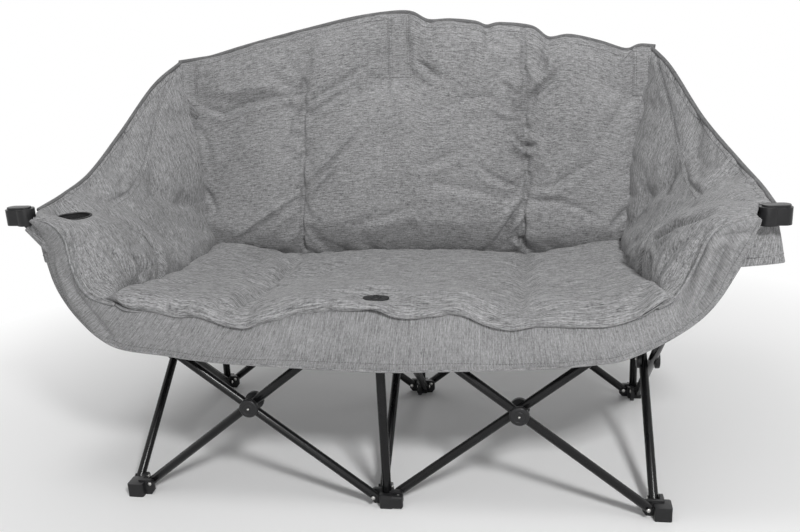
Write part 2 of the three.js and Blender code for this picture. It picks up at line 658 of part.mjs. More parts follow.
// Flap: the pocket panel that hangs outside each arm from the wing
function flap(sign, armY) {
  const inner = wingSurface(sign, armY);
  const hang = (u) => {
    const v = 0.45;
    const thick = WING_T * Math.min(crown(u), crown(v));
    return inner(u, v).addScaledVector(normalAt(inner, u, v), sign * (thick + 2 * GAP));
  };
  const places = [0.42, 0.56, 0.7, 0.84, 0.96];
  const top = places.map(hang);
  const row = (share, out) => top.map((p) => V(p.x + sign * out * FLAP_OUT, p.y, p.z - FLAP_DROP * share));
  const rows = [top, row(0.35, 0.63), row(0.7, 0.89), row(1, 1)];
  return pad(sheet(rows), steps(8), steps(5), () => FLAP_T, sign);
}

// The whole loveseat

const loveseat = new THREE.Group();
loveseat.position.y = (FRONT_REACH - REAR_REACH) / 2;

const FOOT_SIDES = { '1,0': 1, '-1,0': -1, '0,1': -1, '0,-1': 1 };
const armsOf = (runs, flip) => runs.map((along) => ({ along, side: flip * FOOT_SIDES[along.join(',')] }));
const columns = [['left', -1], ['centre', 0], ['right', 1]];
const runsAt = (c, back) => [[1, 0], [-1, 0], [0, back ? -1 : 1]].filter(([x]) => !x || Math.abs(c + x) < 2);

function place(piece, x, y, z) {
  piece.position.set(x, y, z);
  loveseat.add(piece);
}

for (const [name, c] of columns) {
  for (const [row, y] of [['front', FRONT], ['rear', REAR]]) {
    const runs = runsAt(c, row === 'rear');
    const post = row === 'rear' || c === 0;
    place(mesh(`${row}_${name}_foot`, footHub(armsOf(runs, 1), post), plastic()), c * BAY, y, PIVOT_Z);
    const upper = post ? slidingHub(armsOf(runs, -1), row === 'rear') : armBracket(-c, c);
    place(mesh(`${row}_${name}_hub`, upper, plastic()), c * BAY, y, TOP_Z);
  }
  const pole = uprightPole(c ? CORNER_POLE_TOP : CENTRE_POLE_TOP);
  place(mesh(`rear_${name}_pole`, pole, steel()), c * BAY, REAR, 0);
}
place(mesh('front_centre_post', uprightPole(TOP_Z + HUB_H / 2 - 6 - GAP), steel()), 0, FRONT, 0);

for (const [row, y] of [['front', FRONT], ['rear', REAR]]) {
  for (const [name, left] of [['left', -1], ['right', 0]]) {
    const pair = `${row}_${name}`;
    const arm = (foot) => row === 'front' && foot === 0;
    const label = (foot) => (arm(foot) ? `${name}_arm_tube` : `${pair}_tube_from_${columns[foot + 1][0]}`);
    loveseat.add(placedTube({
      name: label(left), cap: `${pair}_cap_inner`, foot: [left * BAY, y], along: [1, 0], side: 1,
      arm: arm(left),
    }));
    loveseat.add(placedTube({
      name: label(left + 1), cap: `${pair}_cap_outer`, foot: [(left + 1) * BAY, y], along: [-1, 0], side: -1,
      arm: arm(left + 1), pinned: true,
    }));
  }
}
for (const [name, c] of columns) {
  const pair = `${name}_side`.replace('centre_side', 'centre');
  loveseat.add(placedTube({
    name: `${pair}_tube_from_front`, cap: `${pair}_cap_outer`, foot: [c * BAY, FRONT], along: [0, 1],
    side: -1, pinned: true,
  }));
  loveseat.add(placedTube({
    name: `${pair}_tube_from_rear`, cap: `${pair}_cap_inner`, foot: [c * BAY, REAR], along: [0, -1], side: 1,
  }));
}

const seat = seatPad();
loveseat.add(mesh('seat_pad', seat, cloth()));
loveseat.add(mesh('seat_plate', seatPlate(seat), plastic()));
const back = backPad();
loveseat.add(mesh('back_pad', back, cloth()));
loveseat.add(mesh('front_band', frontBand(seat), cloth()));
for (const [name, sign] of [['left', -1], ['right', 1]]) {
  const armY = FRONT + sign * OFFSET;
  place(mesh(`${name}_arm_end`, armEnd(sign), plastic()), sign * TIP_X, armY, TIP_Z);
  loveseat.add(mesh(`${name}_wing`, wing(sign, armY, sign < 0, back), cloth()));
  loveseat.add(mesh(`${name}_arm_pad`, armPad(sign, armY, sign < 0, seat), cloth()));
  loveseat.add(mesh(`${name}_flap`, flap(sign, armY), cloth()));
}
loveseat.add(mesh('left_cup_liner', cupLiner(), lining()));

export default loveseat;
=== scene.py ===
"""Folding camping loveseat: padded cover, finishes of the frame and stage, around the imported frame."""

import json
import math
from collections import Counter

import bpy
import numpy as np
from mathutils import Matrix, Vector, noise
from mathutils.bvhtree import BVHTree


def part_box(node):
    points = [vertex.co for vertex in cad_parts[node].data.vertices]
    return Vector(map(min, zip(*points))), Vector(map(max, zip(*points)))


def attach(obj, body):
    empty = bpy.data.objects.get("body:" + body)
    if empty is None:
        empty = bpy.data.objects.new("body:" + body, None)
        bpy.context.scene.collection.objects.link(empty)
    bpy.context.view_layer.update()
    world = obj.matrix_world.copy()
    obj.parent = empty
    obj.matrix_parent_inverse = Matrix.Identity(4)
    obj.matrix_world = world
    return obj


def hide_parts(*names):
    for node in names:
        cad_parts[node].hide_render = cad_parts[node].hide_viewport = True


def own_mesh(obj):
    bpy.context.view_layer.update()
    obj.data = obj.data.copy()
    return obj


bl_info = {
    "name": "Folding Loveseat",
    "version": (1, 0, 0),
    "blender": (4, 5, 0),
    "location": "View3D > Sidebar > Loveseat",
    "description": "Sews the cover of a folding loveseat onto its frame and finishes metal and plastic",
    "category": "Object",
}

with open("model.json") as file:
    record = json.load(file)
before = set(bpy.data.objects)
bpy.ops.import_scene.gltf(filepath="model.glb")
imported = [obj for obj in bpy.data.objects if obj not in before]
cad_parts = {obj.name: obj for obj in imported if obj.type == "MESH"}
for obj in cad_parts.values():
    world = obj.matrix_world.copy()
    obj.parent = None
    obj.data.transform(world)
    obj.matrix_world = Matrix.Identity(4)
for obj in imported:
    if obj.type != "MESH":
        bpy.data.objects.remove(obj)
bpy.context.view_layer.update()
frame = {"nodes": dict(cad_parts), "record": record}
BODY_OF = {node: body for body, nodes in frame["record"]["behaviour"]["bodies"].items() for node in nodes}

# Sizes that the cover shares with the frame, in metres
# SHIFT is how far the frame's middle lies behind the origin
SHIFT = 0.018
BAY = 0.525
REAR = BAY / 2
PIVOT_OUT = 0.024
PIVOT_Z = 0.024
TUBE_END = 0.005
OFFSET = 0.010
SLOPE = math.radians(38)
SPAN = BAY - 2 * PIVOT_OUT
BAR = SPAN / math.cos(SLOPE)
TOP_Z = PIVOT_Z + SPAN * math.tan(SLOPE)
TIP = (BAY + 0.152, TOP_Z + 0.194)
ARM_BEND_AT = 0.036
ARM_BEND = 0.03
UP = Vector((0, 0, 1))
# Points of a mesh closer than this are one
WELD = 0.00005


# Properties


def colour_setting(name, description, default):
    return bpy.props.FloatVectorProperty(name=name, description=description, subtype="COLOR", default=default)


def size_setting(name, description, default, unit="LENGTH"):
    return bpy.props.FloatProperty(name=name, description=description, unit=unit, default=default)


class LoveseatCover(bpy.types.PropertyGroup):
    """Sizes and colours of the sewn cover."""

    dark_yarn: colour_setting("Dark yarn", "Darkest yarn of the heather cloth", (0.075, 0.075, 0.077))
    light_yarn: colour_setting("Light yarn", "Lightest yarn of the heather cloth", (0.43, 0.43, 0.435))
    lining: colour_setting("Lining", "Black lining of the cup holder", (0.016, 0.016, 0.017))
    grid: size_setting("Cloth grid", "Mesh size of the simulated cloth", 0.0075)
    stitch: size_setting("Stitch", "Length of one stitch", 0.0042)
    piping: size_setting("Piping", "Radius of the corded edges", 0.0028)


class LoveseatFrame(bpy.types.PropertyGroup):
    """Sizes and colours of the metal and plastic."""

    tube_radius: size_setting("Tube radius", "Outer radius of the steel tubes", 0.009)
    cap_radius: size_setting("Cap radius", "Radius of the caps on the crossings", 0.019)
    rivet_radius: size_setting("Rivet radius", "Radius of the rivet heads", 0.004)
    paint: colour_setting("Paint", "Black coat of the tubes", (0.006, 0.006, 0.0064))
    plastic: colour_setting("Plastic", "Black moulded plastic", (0.014, 0.014, 0.0148))
    rivet: colour_setting("Rivet", "Bright steel of the rivets", (0.5, 0.495, 0.48))


class LoveseatStage(bpy.types.PropertyGroup):
    """Floor and lights."""

    floor: colour_setting("Floor", "Colour of the floor", (0.9, 0.9, 0.9))
    key: size_setting("Key light", "Power of the main lamp", 60, "POWER")
    fill: size_setting("Fill light", "Power of the lamp above", 14, "POWER")


def cover():
    return bpy.context.scene.loveseat_cover


def metal():
    return bpy.context.scene.loveseat_frame


# Shaders


class Value:
    """A shader value; sums and products of values add Math nodes."""

    def __init__(self, finish, socket):
        self.finish = finish
        self.socket = socket

    def math(self, operation, *others):
        return self.finish.add("ShaderNodeMath", {"operation": operation}, *others)

    def __add__(self, other):
        return self.math("ADD", self, other)

    def __sub__(self, other):
        return self.math("SUBTRACT", self, other)

    def __rsub__(self, other):
        return self.math("SUBTRACT", other, self)

    def __mul__(self, other):
        return self.math("MULTIPLY", self, other)

    __radd__ = __add__
    __rmul__ = __mul__

    def sine(self):
        return self.math("SINE", self)

    def clamped(self):
        return self.math("MINIMUM", self.math("MAXIMUM", self, 0.0), 1.0)


# Sockets of a Mix node that mixes colours
MIX_SHARE, MIX_FIRST, MIX_SECOND, MIX_RESULT = 0, 6, 7, 2


class Finish:
    """A node material with one Principled shader."""

    def __init__(self, name):
        self.material = bpy.data.materials.new(name)
        self.material.use_nodes = True
        self.tree = self.material.node_tree
        self.shader = self.tree.nodes["Principled BSDF"]

    def put(self, socket, value):
        if isinstance(value, Value):
            self.tree.links.new(value.socket, socket)
        else:
            socket.default_value = value

    def add(self, kind, settings=None, *values, out=0, **named):
        node = self.tree.nodes.new(kind)
        for key, setting in (settings or {}).items():
            if key == "stops":
                self.set_stops(node.color_ramp.elements, setting)
            else:
                setattr(node, key, setting)
        for socket, value in zip(node.inputs, values):
            self.put(socket, value)
        for key, value in named.items():
            self.put(node.inputs[key], value)
        return Value(self, node.outputs[out])

    @staticmethod
    def set_stops(elements, stops):
        while len(elements) < len(stops):
            elements.new(1.0)
        for element, (place, colour) in zip(elements, stops):
            element.position = place
            element.color = colour

    def colour_mix(self, share, a, b):
        mixed = self.add("ShaderNodeMix", {"data_type": "RGBA"}, out=MIX_RESULT)
        for place, value in ((MIX_SHARE, share), (MIX_FIRST, a), (MIX_SECOND, b)):
            self.put(mixed.socket.node.inputs[place], value)
        return mixed

    def surface(self, **sockets):
        for key, value in sockets.items():
            self.put(self.shader.inputs[key.replace("_", " ")], value)
        return self.material

    def place(self):
        """Object coordinates."""
        return self.add("ShaderNodeTexCoord", out="Object")

    def noise(self, vector, scale, detail=2.0, rough=0.5):
        return self.add("ShaderNodeTexNoise", Vector=vector, Scale=scale, Detail=detail, Roughness=rough)

    def bump(self, height, strength, distance):
        return self.add("ShaderNodeBump", Height=height, Strength=strength, Distance=distance)


def rgba(colour, factor=1.0):
    return tuple(c * factor for c in colour) + (1.0,)


def heather_cloth(name, coarse=1.0, contrast=1.0, tone=1.0):
    """Woven cloth of mixed light and dark yarn; its streaks run along U of the piece's own UV map."""
    f = Finish(name)
    uv = f.add("ShaderNodeUVMap", {"uv_map": "cloth"})
    split = f.add("ShaderNodeSeparateXYZ", Vector=uv)
    u, v = (Value(f, split.socket.node.outputs[k]) for k in (0, 1))

    def stretched(along, across, detail, rough):
        vector = f.add("ShaderNodeCombineXYZ", X=u * (along / coarse), Y=v * (across / coarse))
        return f.noise(vector, 1.0, detail, rough)

    slub = stretched(26.0, 250.0, 2.0, 0.6)
    streak = stretched(75.0, 500.0, 3.0, 0.7)
    yarn = stretched(240.0, 1050.0, 2.0, 0.65)
    cross = stretched(520.0, 90.0, 2.0, 0.6)
    place = f.place()
    blotch = f.noise(place, 7.0, 3.0, 0.6)
    fine = (yarn - 0.5) * 1.5 + (cross - 0.5) * 0.5 + (blotch - 0.5) * 0.3
    mix = 0.5 + ((slub - 0.5) * 0.7 + (streak - 0.5) * 1.9 + fine) * contrast
    props = cover()
    share = (mix * 0.9 + 0.02).clamped()
    colour = f.colour_mix(share, rgba(props.dark_yarn, tone), rgba(props.light_yarn, tone))
    weft = (v * 4200.0).sine() * 0.5 + 0.5
    warp = (u * 4200.0).sine() * 0.5 + 0.5
    height = weft * 0.25 + warp * 0.2 + yarn * 0.8 + streak * 0.8
    normal = f.bump(height, 0.34, 0.0007)
    return f.surface(Base_Color=colour, Roughness=0.93, Normal=normal, Sheen_Weight=0.12, Sheen_Roughness=0.6)


def thread_finish():
    f = Finish("thread")
    place = f.place()
    ply = f.noise(place, 900.0, 2.0)
    colour = f.colour_mix(ply, rgba((0.06, 0.06, 0.062)), rgba((0.2, 0.2, 0.203)))
    return f.surface(Base_Color=colour, Roughness=0.8, Normal=f.bump(ply, 0.3, 0.0003))


def painted_tube():
    """Half-gloss black coat with a faint orange peel and rubbed spots."""
    f = Finish("painted_tube")
    place = f.place()
    peel = f.noise(place, 420.0, 2.0)
    rub = f.noise(place, 22.0, 4.0, 0.7)
    colour = f.colour_mix((rub - 0.45) * 0.9, rgba(metal().paint), rgba(metal().paint, 2.4))
    normal = f.bump(peel, 0.1, 0.0003)
    return f.surface(Base_Color=colour, Roughness=0.16 + rub * 0.16, Specular_IOR_Level=0.24, Normal=normal)


def moulded_plastic(name, rough=0.26):
    f = Finish(name)
    place = f.place()
    grain = f.noise(place, 1500.0, 2.0, 0.6)
    scuff = f.noise(place, 55.0, 4.0, 0.7)
    colour = f.colour_mix((scuff - 0.5) * 1.6, rgba(metal().plastic), rgba(metal().plastic, 2.2))
    normal = f.bump(grain, 0.2, 0.0003)
    return f.surface(Base_Color=colour, Roughness=rough + scuff * 0.16, Specular_IOR_Level=0.3, Normal=normal)


def bright_rivet():
    f = Finish("bright_rivet")
    place = f.place()
    mark = f.noise(place, 380.0, 3.0, 0.7)
    colour = f.colour_mix(mark, rgba(metal().rivet, 0.8), rgba(metal().rivet, 1.15))
    normal = f.bump(mark, 0.1, 0.0002)
    return f.surface(Base_Color=colour, Metallic=1.0, Roughness=0.22 + mark * 0.2, Normal=normal)


def cup_mesh():
    """Black net lining: small holes in rows."""
    f = Finish("cup_mesh")
    place = f.place()
    cells = f.add("ShaderNodeTexVoronoi", {"feature": "DISTANCE_TO_EDGE"}, Vector=place, Scale=420.0)
    edge = (cells * 6.0).clamped()
    colour = f.colour_mix(edge, rgba(cover().lining, 2.2), rgba(cover().lining, 0.5))
    return f.surface(Base_Color=colour, Roughness=0.85, Normal=f.bump(1.0 - edge, 0.5, 0.0006))


FINISHES = {}


def finish(name):
    """Each finish is made once."""
    makers = {
        "cloth": lambda: heather_cloth("heather_cloth", 1.0, 1.14),
        "seat cloth": lambda: heather_cloth("seat_cloth", 1.9, 1.15),
        "band cloth": lambda: heather_cloth("band_cloth", 1.2, 0.75),
        # The bindings' cloth is darkened to 0.55 of its tone: painted shade along the curved edges
        "binding": lambda: heather_cloth("binding_cloth_painted_shade", 1.0, 0.8, 0.55),
        "thread": thread_finish,
        "tube": painted_tube,
        "plastic": lambda: moulded_plastic("moulded_plastic"),
        "plate": lambda: moulded_plastic("plate_plastic", 0.3),
        "rivet": bright_rivet,
        "lining": cup_mesh,
    }
    if name not in FINISHES:
        FINISHES[name] = makers[name]()
    return FINISHES[name]


def dress(piece, name):
    piece.data.materials.clear()
    piece.data.materials.append(finish(name))
    return piece


# Modelling helpers


def only(piece):
    bpy.ops.object.select_all(action="DESELECT")
    piece.select_set(True)
    bpy.context.view_layer.objects.active = piece


def applied(piece, kind, **settings):
    modifier = piece.modifiers.new(kind.title(), kind)
    for key, value in settings.items():
        setattr(modifier, key, value)
    only(piece)
    bpy.ops.object.modifier_apply(modifier=modifier.name)
    return piece


def edit(piece, *steps):
    """Runs edit-mode steps on a piece."""
    only(piece)
    bpy.ops.object.mode_set(mode="EDIT")
    for step in steps:
        step()
    bpy.ops.object.mode_set(mode="OBJECT")
    return piece


def all_selected():
    bpy.ops.mesh.select_all(action="SELECT")


def faced_out(piece):
    """Turns all faces of a closed piece outwards."""
    return edit(piece, all_selected, lambda: bpy.ops.mesh.normals_make_consistent(inside=False))


def bevelled(piece, width, segments, angle):
    """Rounds the edges that are sharper than an angle."""
    limit = math.radians(angle)
    return applied(piece, "BEVEL", width=width, segments=segments, limit_method="ANGLE", angle_limit=limit)


def select_faces(piece, test):
    """Selects the faces whose centre and normal pass the test."""
    only(piece)
    bpy.ops.object.mode_set(mode="EDIT")
    bpy.ops.mesh.select_mode(type="FACE")
    bpy.ops.mesh.select_all(action="DESELECT")
    bpy.ops.object.mode_set(mode="OBJECT")
    for face in piece.data.polygons:
        face.select = bool(test(face.center, face.normal))


def named(name):
    piece = bpy.context.active_object
    piece.name = name
    piece.data.name = name
    return piece


def placed(piece, matrix):
    """Moves a piece made at the origin to its place and applies it."""
    piece.matrix_world = matrix
    only(piece)
    bpy.ops.object.transform_apply(location=True, rotation=True, scale=True)
    return piece


def smoothed(piece, angle=35):
    only(piece)
    bpy.ops.object.shade_smooth_by_angle(angle=math.radians(angle))
    return piece


def axis_frame(origin, z, x=None):
    """A matrix whose Z runs along z."""
    z = Vector(z).normalized()
    x = Vector(x) if x is not None else (Vector((1, 0, 0)) if abs(z.x) < 0.9 else Vector((0, 1, 0)))
    y = z.cross(x).normalized()
    x = y.cross(z)
    matrix = Matrix((x, y, z)).transposed().to_4x4()
    matrix.translation = origin
    return matrix


def ridden(piece, node, *replaced):
    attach(piece, BODY_OF[node])
    if replaced:
        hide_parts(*replaced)
    return piece


# Curves and sheets


def spline(points, t):
    """Points of a smooth curve through the given ones, at places t from 0 to 1."""
    p = np.asarray(points, float)
    n = len(p)
    ends = np.concatenate([[2 * p[0] - p[1]], p, [2 * p[-1] - p[-2]]])
    place = np.clip(np.asarray(t, float), 0, 1) * (n - 1)
    k = np.minimum(place.astype(int), n - 2)
    f = (place - k).reshape((-1,) + (1,) * (p.ndim - 1))
    a, b, c, d = (ends[k + i] for i in range(4))
    return 0.5 * (2 * b + (c - a) * f + (2 * a - 5 * b + 4 * c - d) * f**2 + (3 * b - a - 3 * c + d) * f**3)


def even(points, count):
    """The same curve with points at even distances."""
    fine = spline(points, np.linspace(0, 1, 600))
    run = np.concatenate([[0], np.cumsum(np.linalg.norm(np.diff(fine, axis=0), axis=1))])
    at = np.linspace(0, run[-1], count)
    return np.stack([np.interp(at, run, fine[:, k]) for k in range(3)], axis=1)


def loft(rows, nu, nv):
    """A grid of points on a smooth sheet through rows of points, in millimetres before and metres after."""
    across = [even(np.asarray(row, float) / 1000 + (0, SHIFT, 0), nu) for row in rows]
    columns = np.stack(across, axis=1)
    return np.stack([even(column, nv) for column in columns])


def sheet_normals(grid):
    n = np.cross(np.gradient(grid, axis=0), np.gradient(grid, axis=1))
    return n / np.linalg.norm(n, axis=2, keepdims=True)


def sheet_uv(grid, turned=False):
    """Distances along the sheet's two ways in metres, U along the streaks."""
    du = np.linalg.norm(np.diff(grid, axis=0), axis=2).mean(axis=1)
    dv = np.linalg.norm(np.diff(grid, axis=1), axis=2).mean(axis=0)
    u = np.concatenate([[0], np.cumsum(du)])[:, None] + np.zeros(grid.shape[:2])
    v = np.concatenate([[0], np.cumsum(dv)])[None, :] + np.zeros(grid.shape[:2])
    return np.stack([v, u] if turned else [u, v], axis=2)


def mesh_piece(name, verts, faces, uv=None):
    mesh = bpy.data.meshes.new(name)
    mesh.from_pydata([tuple(v) for v in verts], [], [tuple(f) for f in faces])
    mesh.update()
    piece = bpy.data.objects.new(name, mesh)
    bpy.context.scene.collection.objects.link(piece)
    if uv is not None:
        layer = mesh.uv_layers.new(name="cloth")
        corner = np.array([loop.vertex_index for loop in mesh.loops])
        layer.data.foreach_set("uv", np.asarray(uv, float)[corner].ravel())
    return piece


def pad_piece(name, front, rear, turned=False):
    """A closed pad between the sheet that shows, in the group 'show', and the sheet behind it."""
    nu, nv, _ = front.shape
    index = np.arange(nu * nv).reshape(nu, nv)
    back = index + nu * nv

    def quads(grid):
        return np.stack([grid[:-1, :-1], grid[1:, :-1], grid[1:, 1:], grid[:-1, 1:]], axis=2).reshape(-1, 4)

    rim = np.concatenate([index[:, 0], index[-1, 1:], index[-2::-1, -1], index[0, -2::-1]])
    under = np.concatenate([back[:, 0], back[-1, 1:], back[-2::-1, -1], back[0, -2::-1]])
    wall = np.stack([rim[:-1], under[:-1], under[1:], rim[1:]], axis=1)
    faces = np.concatenate([quads(index), quads(back)[:, ::-1], wall])
    flat = sheet_uv(front, turned).reshape(-1, 2)
    verts = np.concatenate([front.reshape(-1, 3), rear.reshape(-1, 3)])
    piece = faced_out(mesh_piece(name, verts, faces, np.concatenate([flat, flat])))
    show = piece.vertex_groups.new(name="show")
    show.add(index.ravel().tolist(), 1.0, "REPLACE")
    return piece


SWELL_FRAMES = 22
STIFFNESS = 18.0
DAMPING = 12.0


def swell(piece, held, pressure, growth, cap):
    """Blows a pad up as cloth, with some points held and none moved further than cap."""
    pin = piece.vertex_groups.new(name="held")
    pin.add([int(i) for i in held], 1.0, "REPLACE")
    rest = np.empty(len(piece.data.vertices) * 3)
    piece.data.vertices.foreach_get("co", rest)
    modifier = piece.modifiers.new("Cloth", "CLOTH")
    cloth = modifier.settings
    cloth.quality = 6
    cloth.mass = 0.25
    cloth.air_damping = 3.0
    cloth.tension_stiffness = STIFFNESS
    cloth.compression_stiffness = STIFFNESS
    cloth.shear_stiffness = STIFFNESS * 0.6
    cloth.bending_stiffness = 0.4
    cloth.tension_damping = DAMPING
    cloth.compression_damping = DAMPING
    cloth.shear_damping = DAMPING
    cloth.vertex_group_mass = "held"
    cloth.pin_stiffness = 1.0
    cloth.shrink_min = -growth
    cloth.use_pressure = True
    cloth.uniform_pressure_force = pressure
    cloth.effector_weights.gravity = 0.0
    modifier.collision_settings.use_collision = False
    modifier.point_cache.frame_start = 1
    modifier.point_cache.frame_end = SWELL_FRAMES
    for k in range(1, SWELL_FRAMES + 1):
        bpy.context.scene.frame_set(k)
    only(piece)
    bpy.ops.object.modifier_apply(modifier=modifier.name)
    bpy.context.scene.frame_set(1)
    moved = np.empty_like(rest)
    piece.data.vertices.foreach_get("co", moved)
    step = (moved - rest).reshape(-1, 3)
    length = np.linalg.norm(step, axis=1, keepdims=True)
    step *= np.minimum(1.0, cap / np.maximum(length, 1e-9))
    piece.data.vertices.foreach_set("co", (rest.reshape(-1, 3) + step).ravel())
    piece.data.update()
    return piece


def finer(piece):
    applied(piece, "SUBSURF", levels=1, render_levels=1)
    only(piece)
    bpy.ops.object.shade_smooth()
    return piece


def line_distance(p, line):
    """Signed distance of points to a bent line, and how far along it they lie, from 0 to 1."""
    line = np.asarray(line, float)
    runs = np.linalg.norm(np.diff(line, axis=0), axis=1)
    total = runs.sum()
    best = np.full(len(p), np.inf)
    side = np.zeros(len(p))
    along = np.zeros(len(p))
    done = 0.0
    for a, b, run in zip(line[:-1], line[1:], runs):
        way = (b - a) / run
        q = p - a
        t = np.clip(q @ way, 0, run)
        gap = np.linalg.norm(q - t[:, None] * way, axis=1)
        near = gap < best
        best[near] = gap[near]
        side[near] = np.sign(q[near, 0] * way[1] - q[near, 1] * way[0])
        along[near] = (done + t[near]) / total
        done += run
    return best, side, along


def crease_lift(p, creases):
    """Height of creases (height, width, line) at plane points p, all in millimetres; valleys are negative."""
    lift = np.zeros(len(p))
    for height, width, line in creases:
        gap, side, along = line_distance(p, line)
        taper = np.sin(np.pi * np.clip(along * 0.94 + 0.03, 0, 1)) ** 0.7
        core = np.exp(-((gap / width) ** 1.4))
        beside = np.exp(-(((side * gap - 1.9 * width) / (1.3 * width)) ** 2))
        lift += height * taper * (core - 0.45 * beside)
    return lift


def shape_front(piece, lift):
    """Lifts the shown side of a pad along its normals; lift turns points into heights, in millimetres."""
    mesh = piece.data
    count = len(mesh.vertices)
    co = np.empty(count * 3)
    normal = np.empty(count * 3)
    mesh.vertices.foreach_get("co", co)
    mesh.vertices.foreach_get("normal", normal)
    co = co.reshape(-1, 3)
    group = piece.vertex_groups["show"].index
    shown = np.array([sum(g.weight for g in v.groups if g.group == group) for v in mesh.vertices])
    points = (co - (0, SHIFT, 0)) * 1000
    co = co + normal.reshape(-1, 3) * (lift(points) * np.clip(shown * 2 - 1, 0, 1) / 1000)[:, None]
    mesh.vertices.foreach_set("co", co.ravel())
    mesh.update()
    return piece


def rumple(points, size, height, seed):
    """Small uneven lumps of padding, in millimetres."""
    shift = Vector((seed * 17.3, seed * 5.1, seed * 9.7))
    return np.array([noise.noise(Vector(p) / size + shift) for p in points]) * height


def tube_along(name, points, radius, sides=10, flat=1.0, closed=False):
    """A corded edge: a round cord swept along points, with its UV along and around it."""
    p = np.asarray(points, float)
    way = np.gradient(p, axis=0)
    if closed:
        way = np.roll(p, -1, axis=0) - np.roll(p, 1, axis=0)
    way /= np.linalg.norm(way, axis=1, keepdims=True)
    guide = np.array([0.0, 0.0, 1.0]) if np.abs(way[:, 2]).mean() < 0.75 else np.array([0.0, 1.0, 0.0])
    a = np.cross(way, guide)
    a /= np.linalg.norm(a, axis=1, keepdims=True)
    b = np.cross(a, way)
    turn = np.linspace(0, 2 * np.pi, sides, endpoint=False)
    ring = np.cos(turn)[None, :, None] * a[:, None] * flat + np.sin(turn)[None, :, None] * b[:, None]
    verts = (p[:, None] + ring * radius).reshape(-1, 3)
    n = len(p)
    faces = []
    for i in range(n if closed else n - 1):
        for j in range(sides):
            k, m = (i + 1) % n, (j + 1) % sides
            faces.append((i * sides + j, i * sides + m, k * sides + m, k * sides + j))
    if not closed:
        faces.append(tuple(range(sides)))
        faces.append(tuple(reversed(range((n - 1) * sides, n * sides))))
    run = np.concatenate([[0], np.cumsum(np.linalg.norm(np.diff(p, axis=0), axis=1))])
    uv = np.stack([np.repeat(run, sides), np.tile(turn * radius, n)], axis=1)
    piece = faced_out(mesh_piece(name, verts, faces, uv))
    only(piece)
    bpy.ops.object.shade_smooth()
    return piece


def surface_of(piece):
    """A search tree over a finished pad, for what is sewn onto it."""
    mesh = piece.data
    verts = [v.co.copy() for v in mesh.vertices]
    return BVHTree.FromPolygons(verts, [tuple(f.vertices) for f in mesh.polygons])


def on_surface(tree, points, toward, rise=0.0):
    """Points moved along a direction onto a surface, and its normals there."""
    found, normals = [], []
    toward = Vector(toward).normalized()
    for p in points:
        hit, normal, _, _ = tree.ray_cast(Vector(p) - toward * 0.2, toward, 0.5)
        if hit is None:
            hit, normal, _, _ = tree.find_nearest(Vector(p))
        if normal.dot(toward) > 0:
            normal = -normal
        found.append(np.array(hit + normal * rise))
        normals.append(np.array(normal))
    return np.array(found), np.array(normals)


def stitches(name, runs):
    """One small rounded stitch after another along lines on a surface, given as (points, normals) pairs."""
    length = cover().stitch
    step = length * 1.35
    thick = 0.0007
    ring = [(0.0, 1.0), (0.87, -0.5), (-0.87, -0.5)]
    ends = ((-0.5, 0.35), (-0.3, 1.0), (0.3, 1.0), (0.5, 0.35))
    verts, faces = [], []
    for points, normals in runs:
        run = np.concatenate([[0], np.cumsum(np.linalg.norm(np.diff(points, axis=0), axis=1))])

        def place(values, s):
            return np.array([np.interp(s, run, values[:, i]) for i in range(3)])

        for k in range(int(run[-1] / step)):
            at = (k + 0.5) * step
            way = place(points, at + length / 2) - place(points, at - length / 2)
            size = np.linalg.norm(way)
            if size < length * 0.3:
                continue
            way /= size
            up = place(normals, at)
            side = np.cross(way, up)
            start = len(verts)
            for along, girth in ends:
                middle = place(points, at) + way * along * length
                for a, b in ring:
                    verts.append(middle + (side * a + up * b) * thick * girth)
            for i in range(len(ends) - 1):
                for j in range(3):
                    m = (j + 1) % 3
                    first = start + i * 3
                    faces.append((first + j, first + m, first + 3 + m, first + 3 + j))
            faces.append((start, start + 1, start + 2))
            faces.append((start + 11, start + 10, start + 9))
    return dress(faced_out(mesh_piece(name, verts, faces)), "thread")


# How the cover folds with the frame

WING_LINE = (0.28, -0.86, -0.42)
FOLDING = {
    "back": ("rear_centre", (1, 0, 0), (0, REAR + SHIFT, 0.6), 0.24),
    "seat": ("seat", (1, 0, 0), (0, 0.2085, 0.388), 0.23),
    "left": ("rear_left", (-WING_LINE[0], WING_LINE[1], WING_LINE[2]), (-BAY, REAR + SHIFT, 0.84), 0.2),
    "right": ("rear_right", WING_LINE, (BAY, REAR + SHIFT, 0.84), 0.2),
}


def sewn(piece, part, *replaced):
    """The piece belongs to a part of the cover: it rides with it."""
    body, axis, anchor, keep = FOLDING[part]
    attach(piece, body)
    if replaced:
        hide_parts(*replaced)
    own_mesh(piece)
    return piece


def grid_size(across, down):
    """Columns and rows of a grid for a sheet of that size."""
    step = cover().grid
    return max(12, int(across / step)), max(8, int(down / step))


def rim_and(grid_shape, *more):
    """Indices of the rim of the front sheet and all of the rear sheet, with more front points."""
    nu, nv = grid_shape[:2]
    index = np.arange(nu * nv).reshape(nu, nv)
    rim = np.concatenate([index[0], index[-1], index[:, 0], index[:, -1]])
    return np.unique(np.concatenate([rim, np.arange(nu * nv, 2 * nu * nv), *more]))


def crown(nu, nv):
    """Share of the full padding over a sheet: none at its rim, all of it inside."""
    u = np.linspace(0, 1, nu)[:, None]
    v = np.linspace(0, 1, nv)[None, :]
    return np.minimum(1, 6.4 * np.minimum(u * (1 - u), v * (1 - v))) ** 0.5


# Frame pieces


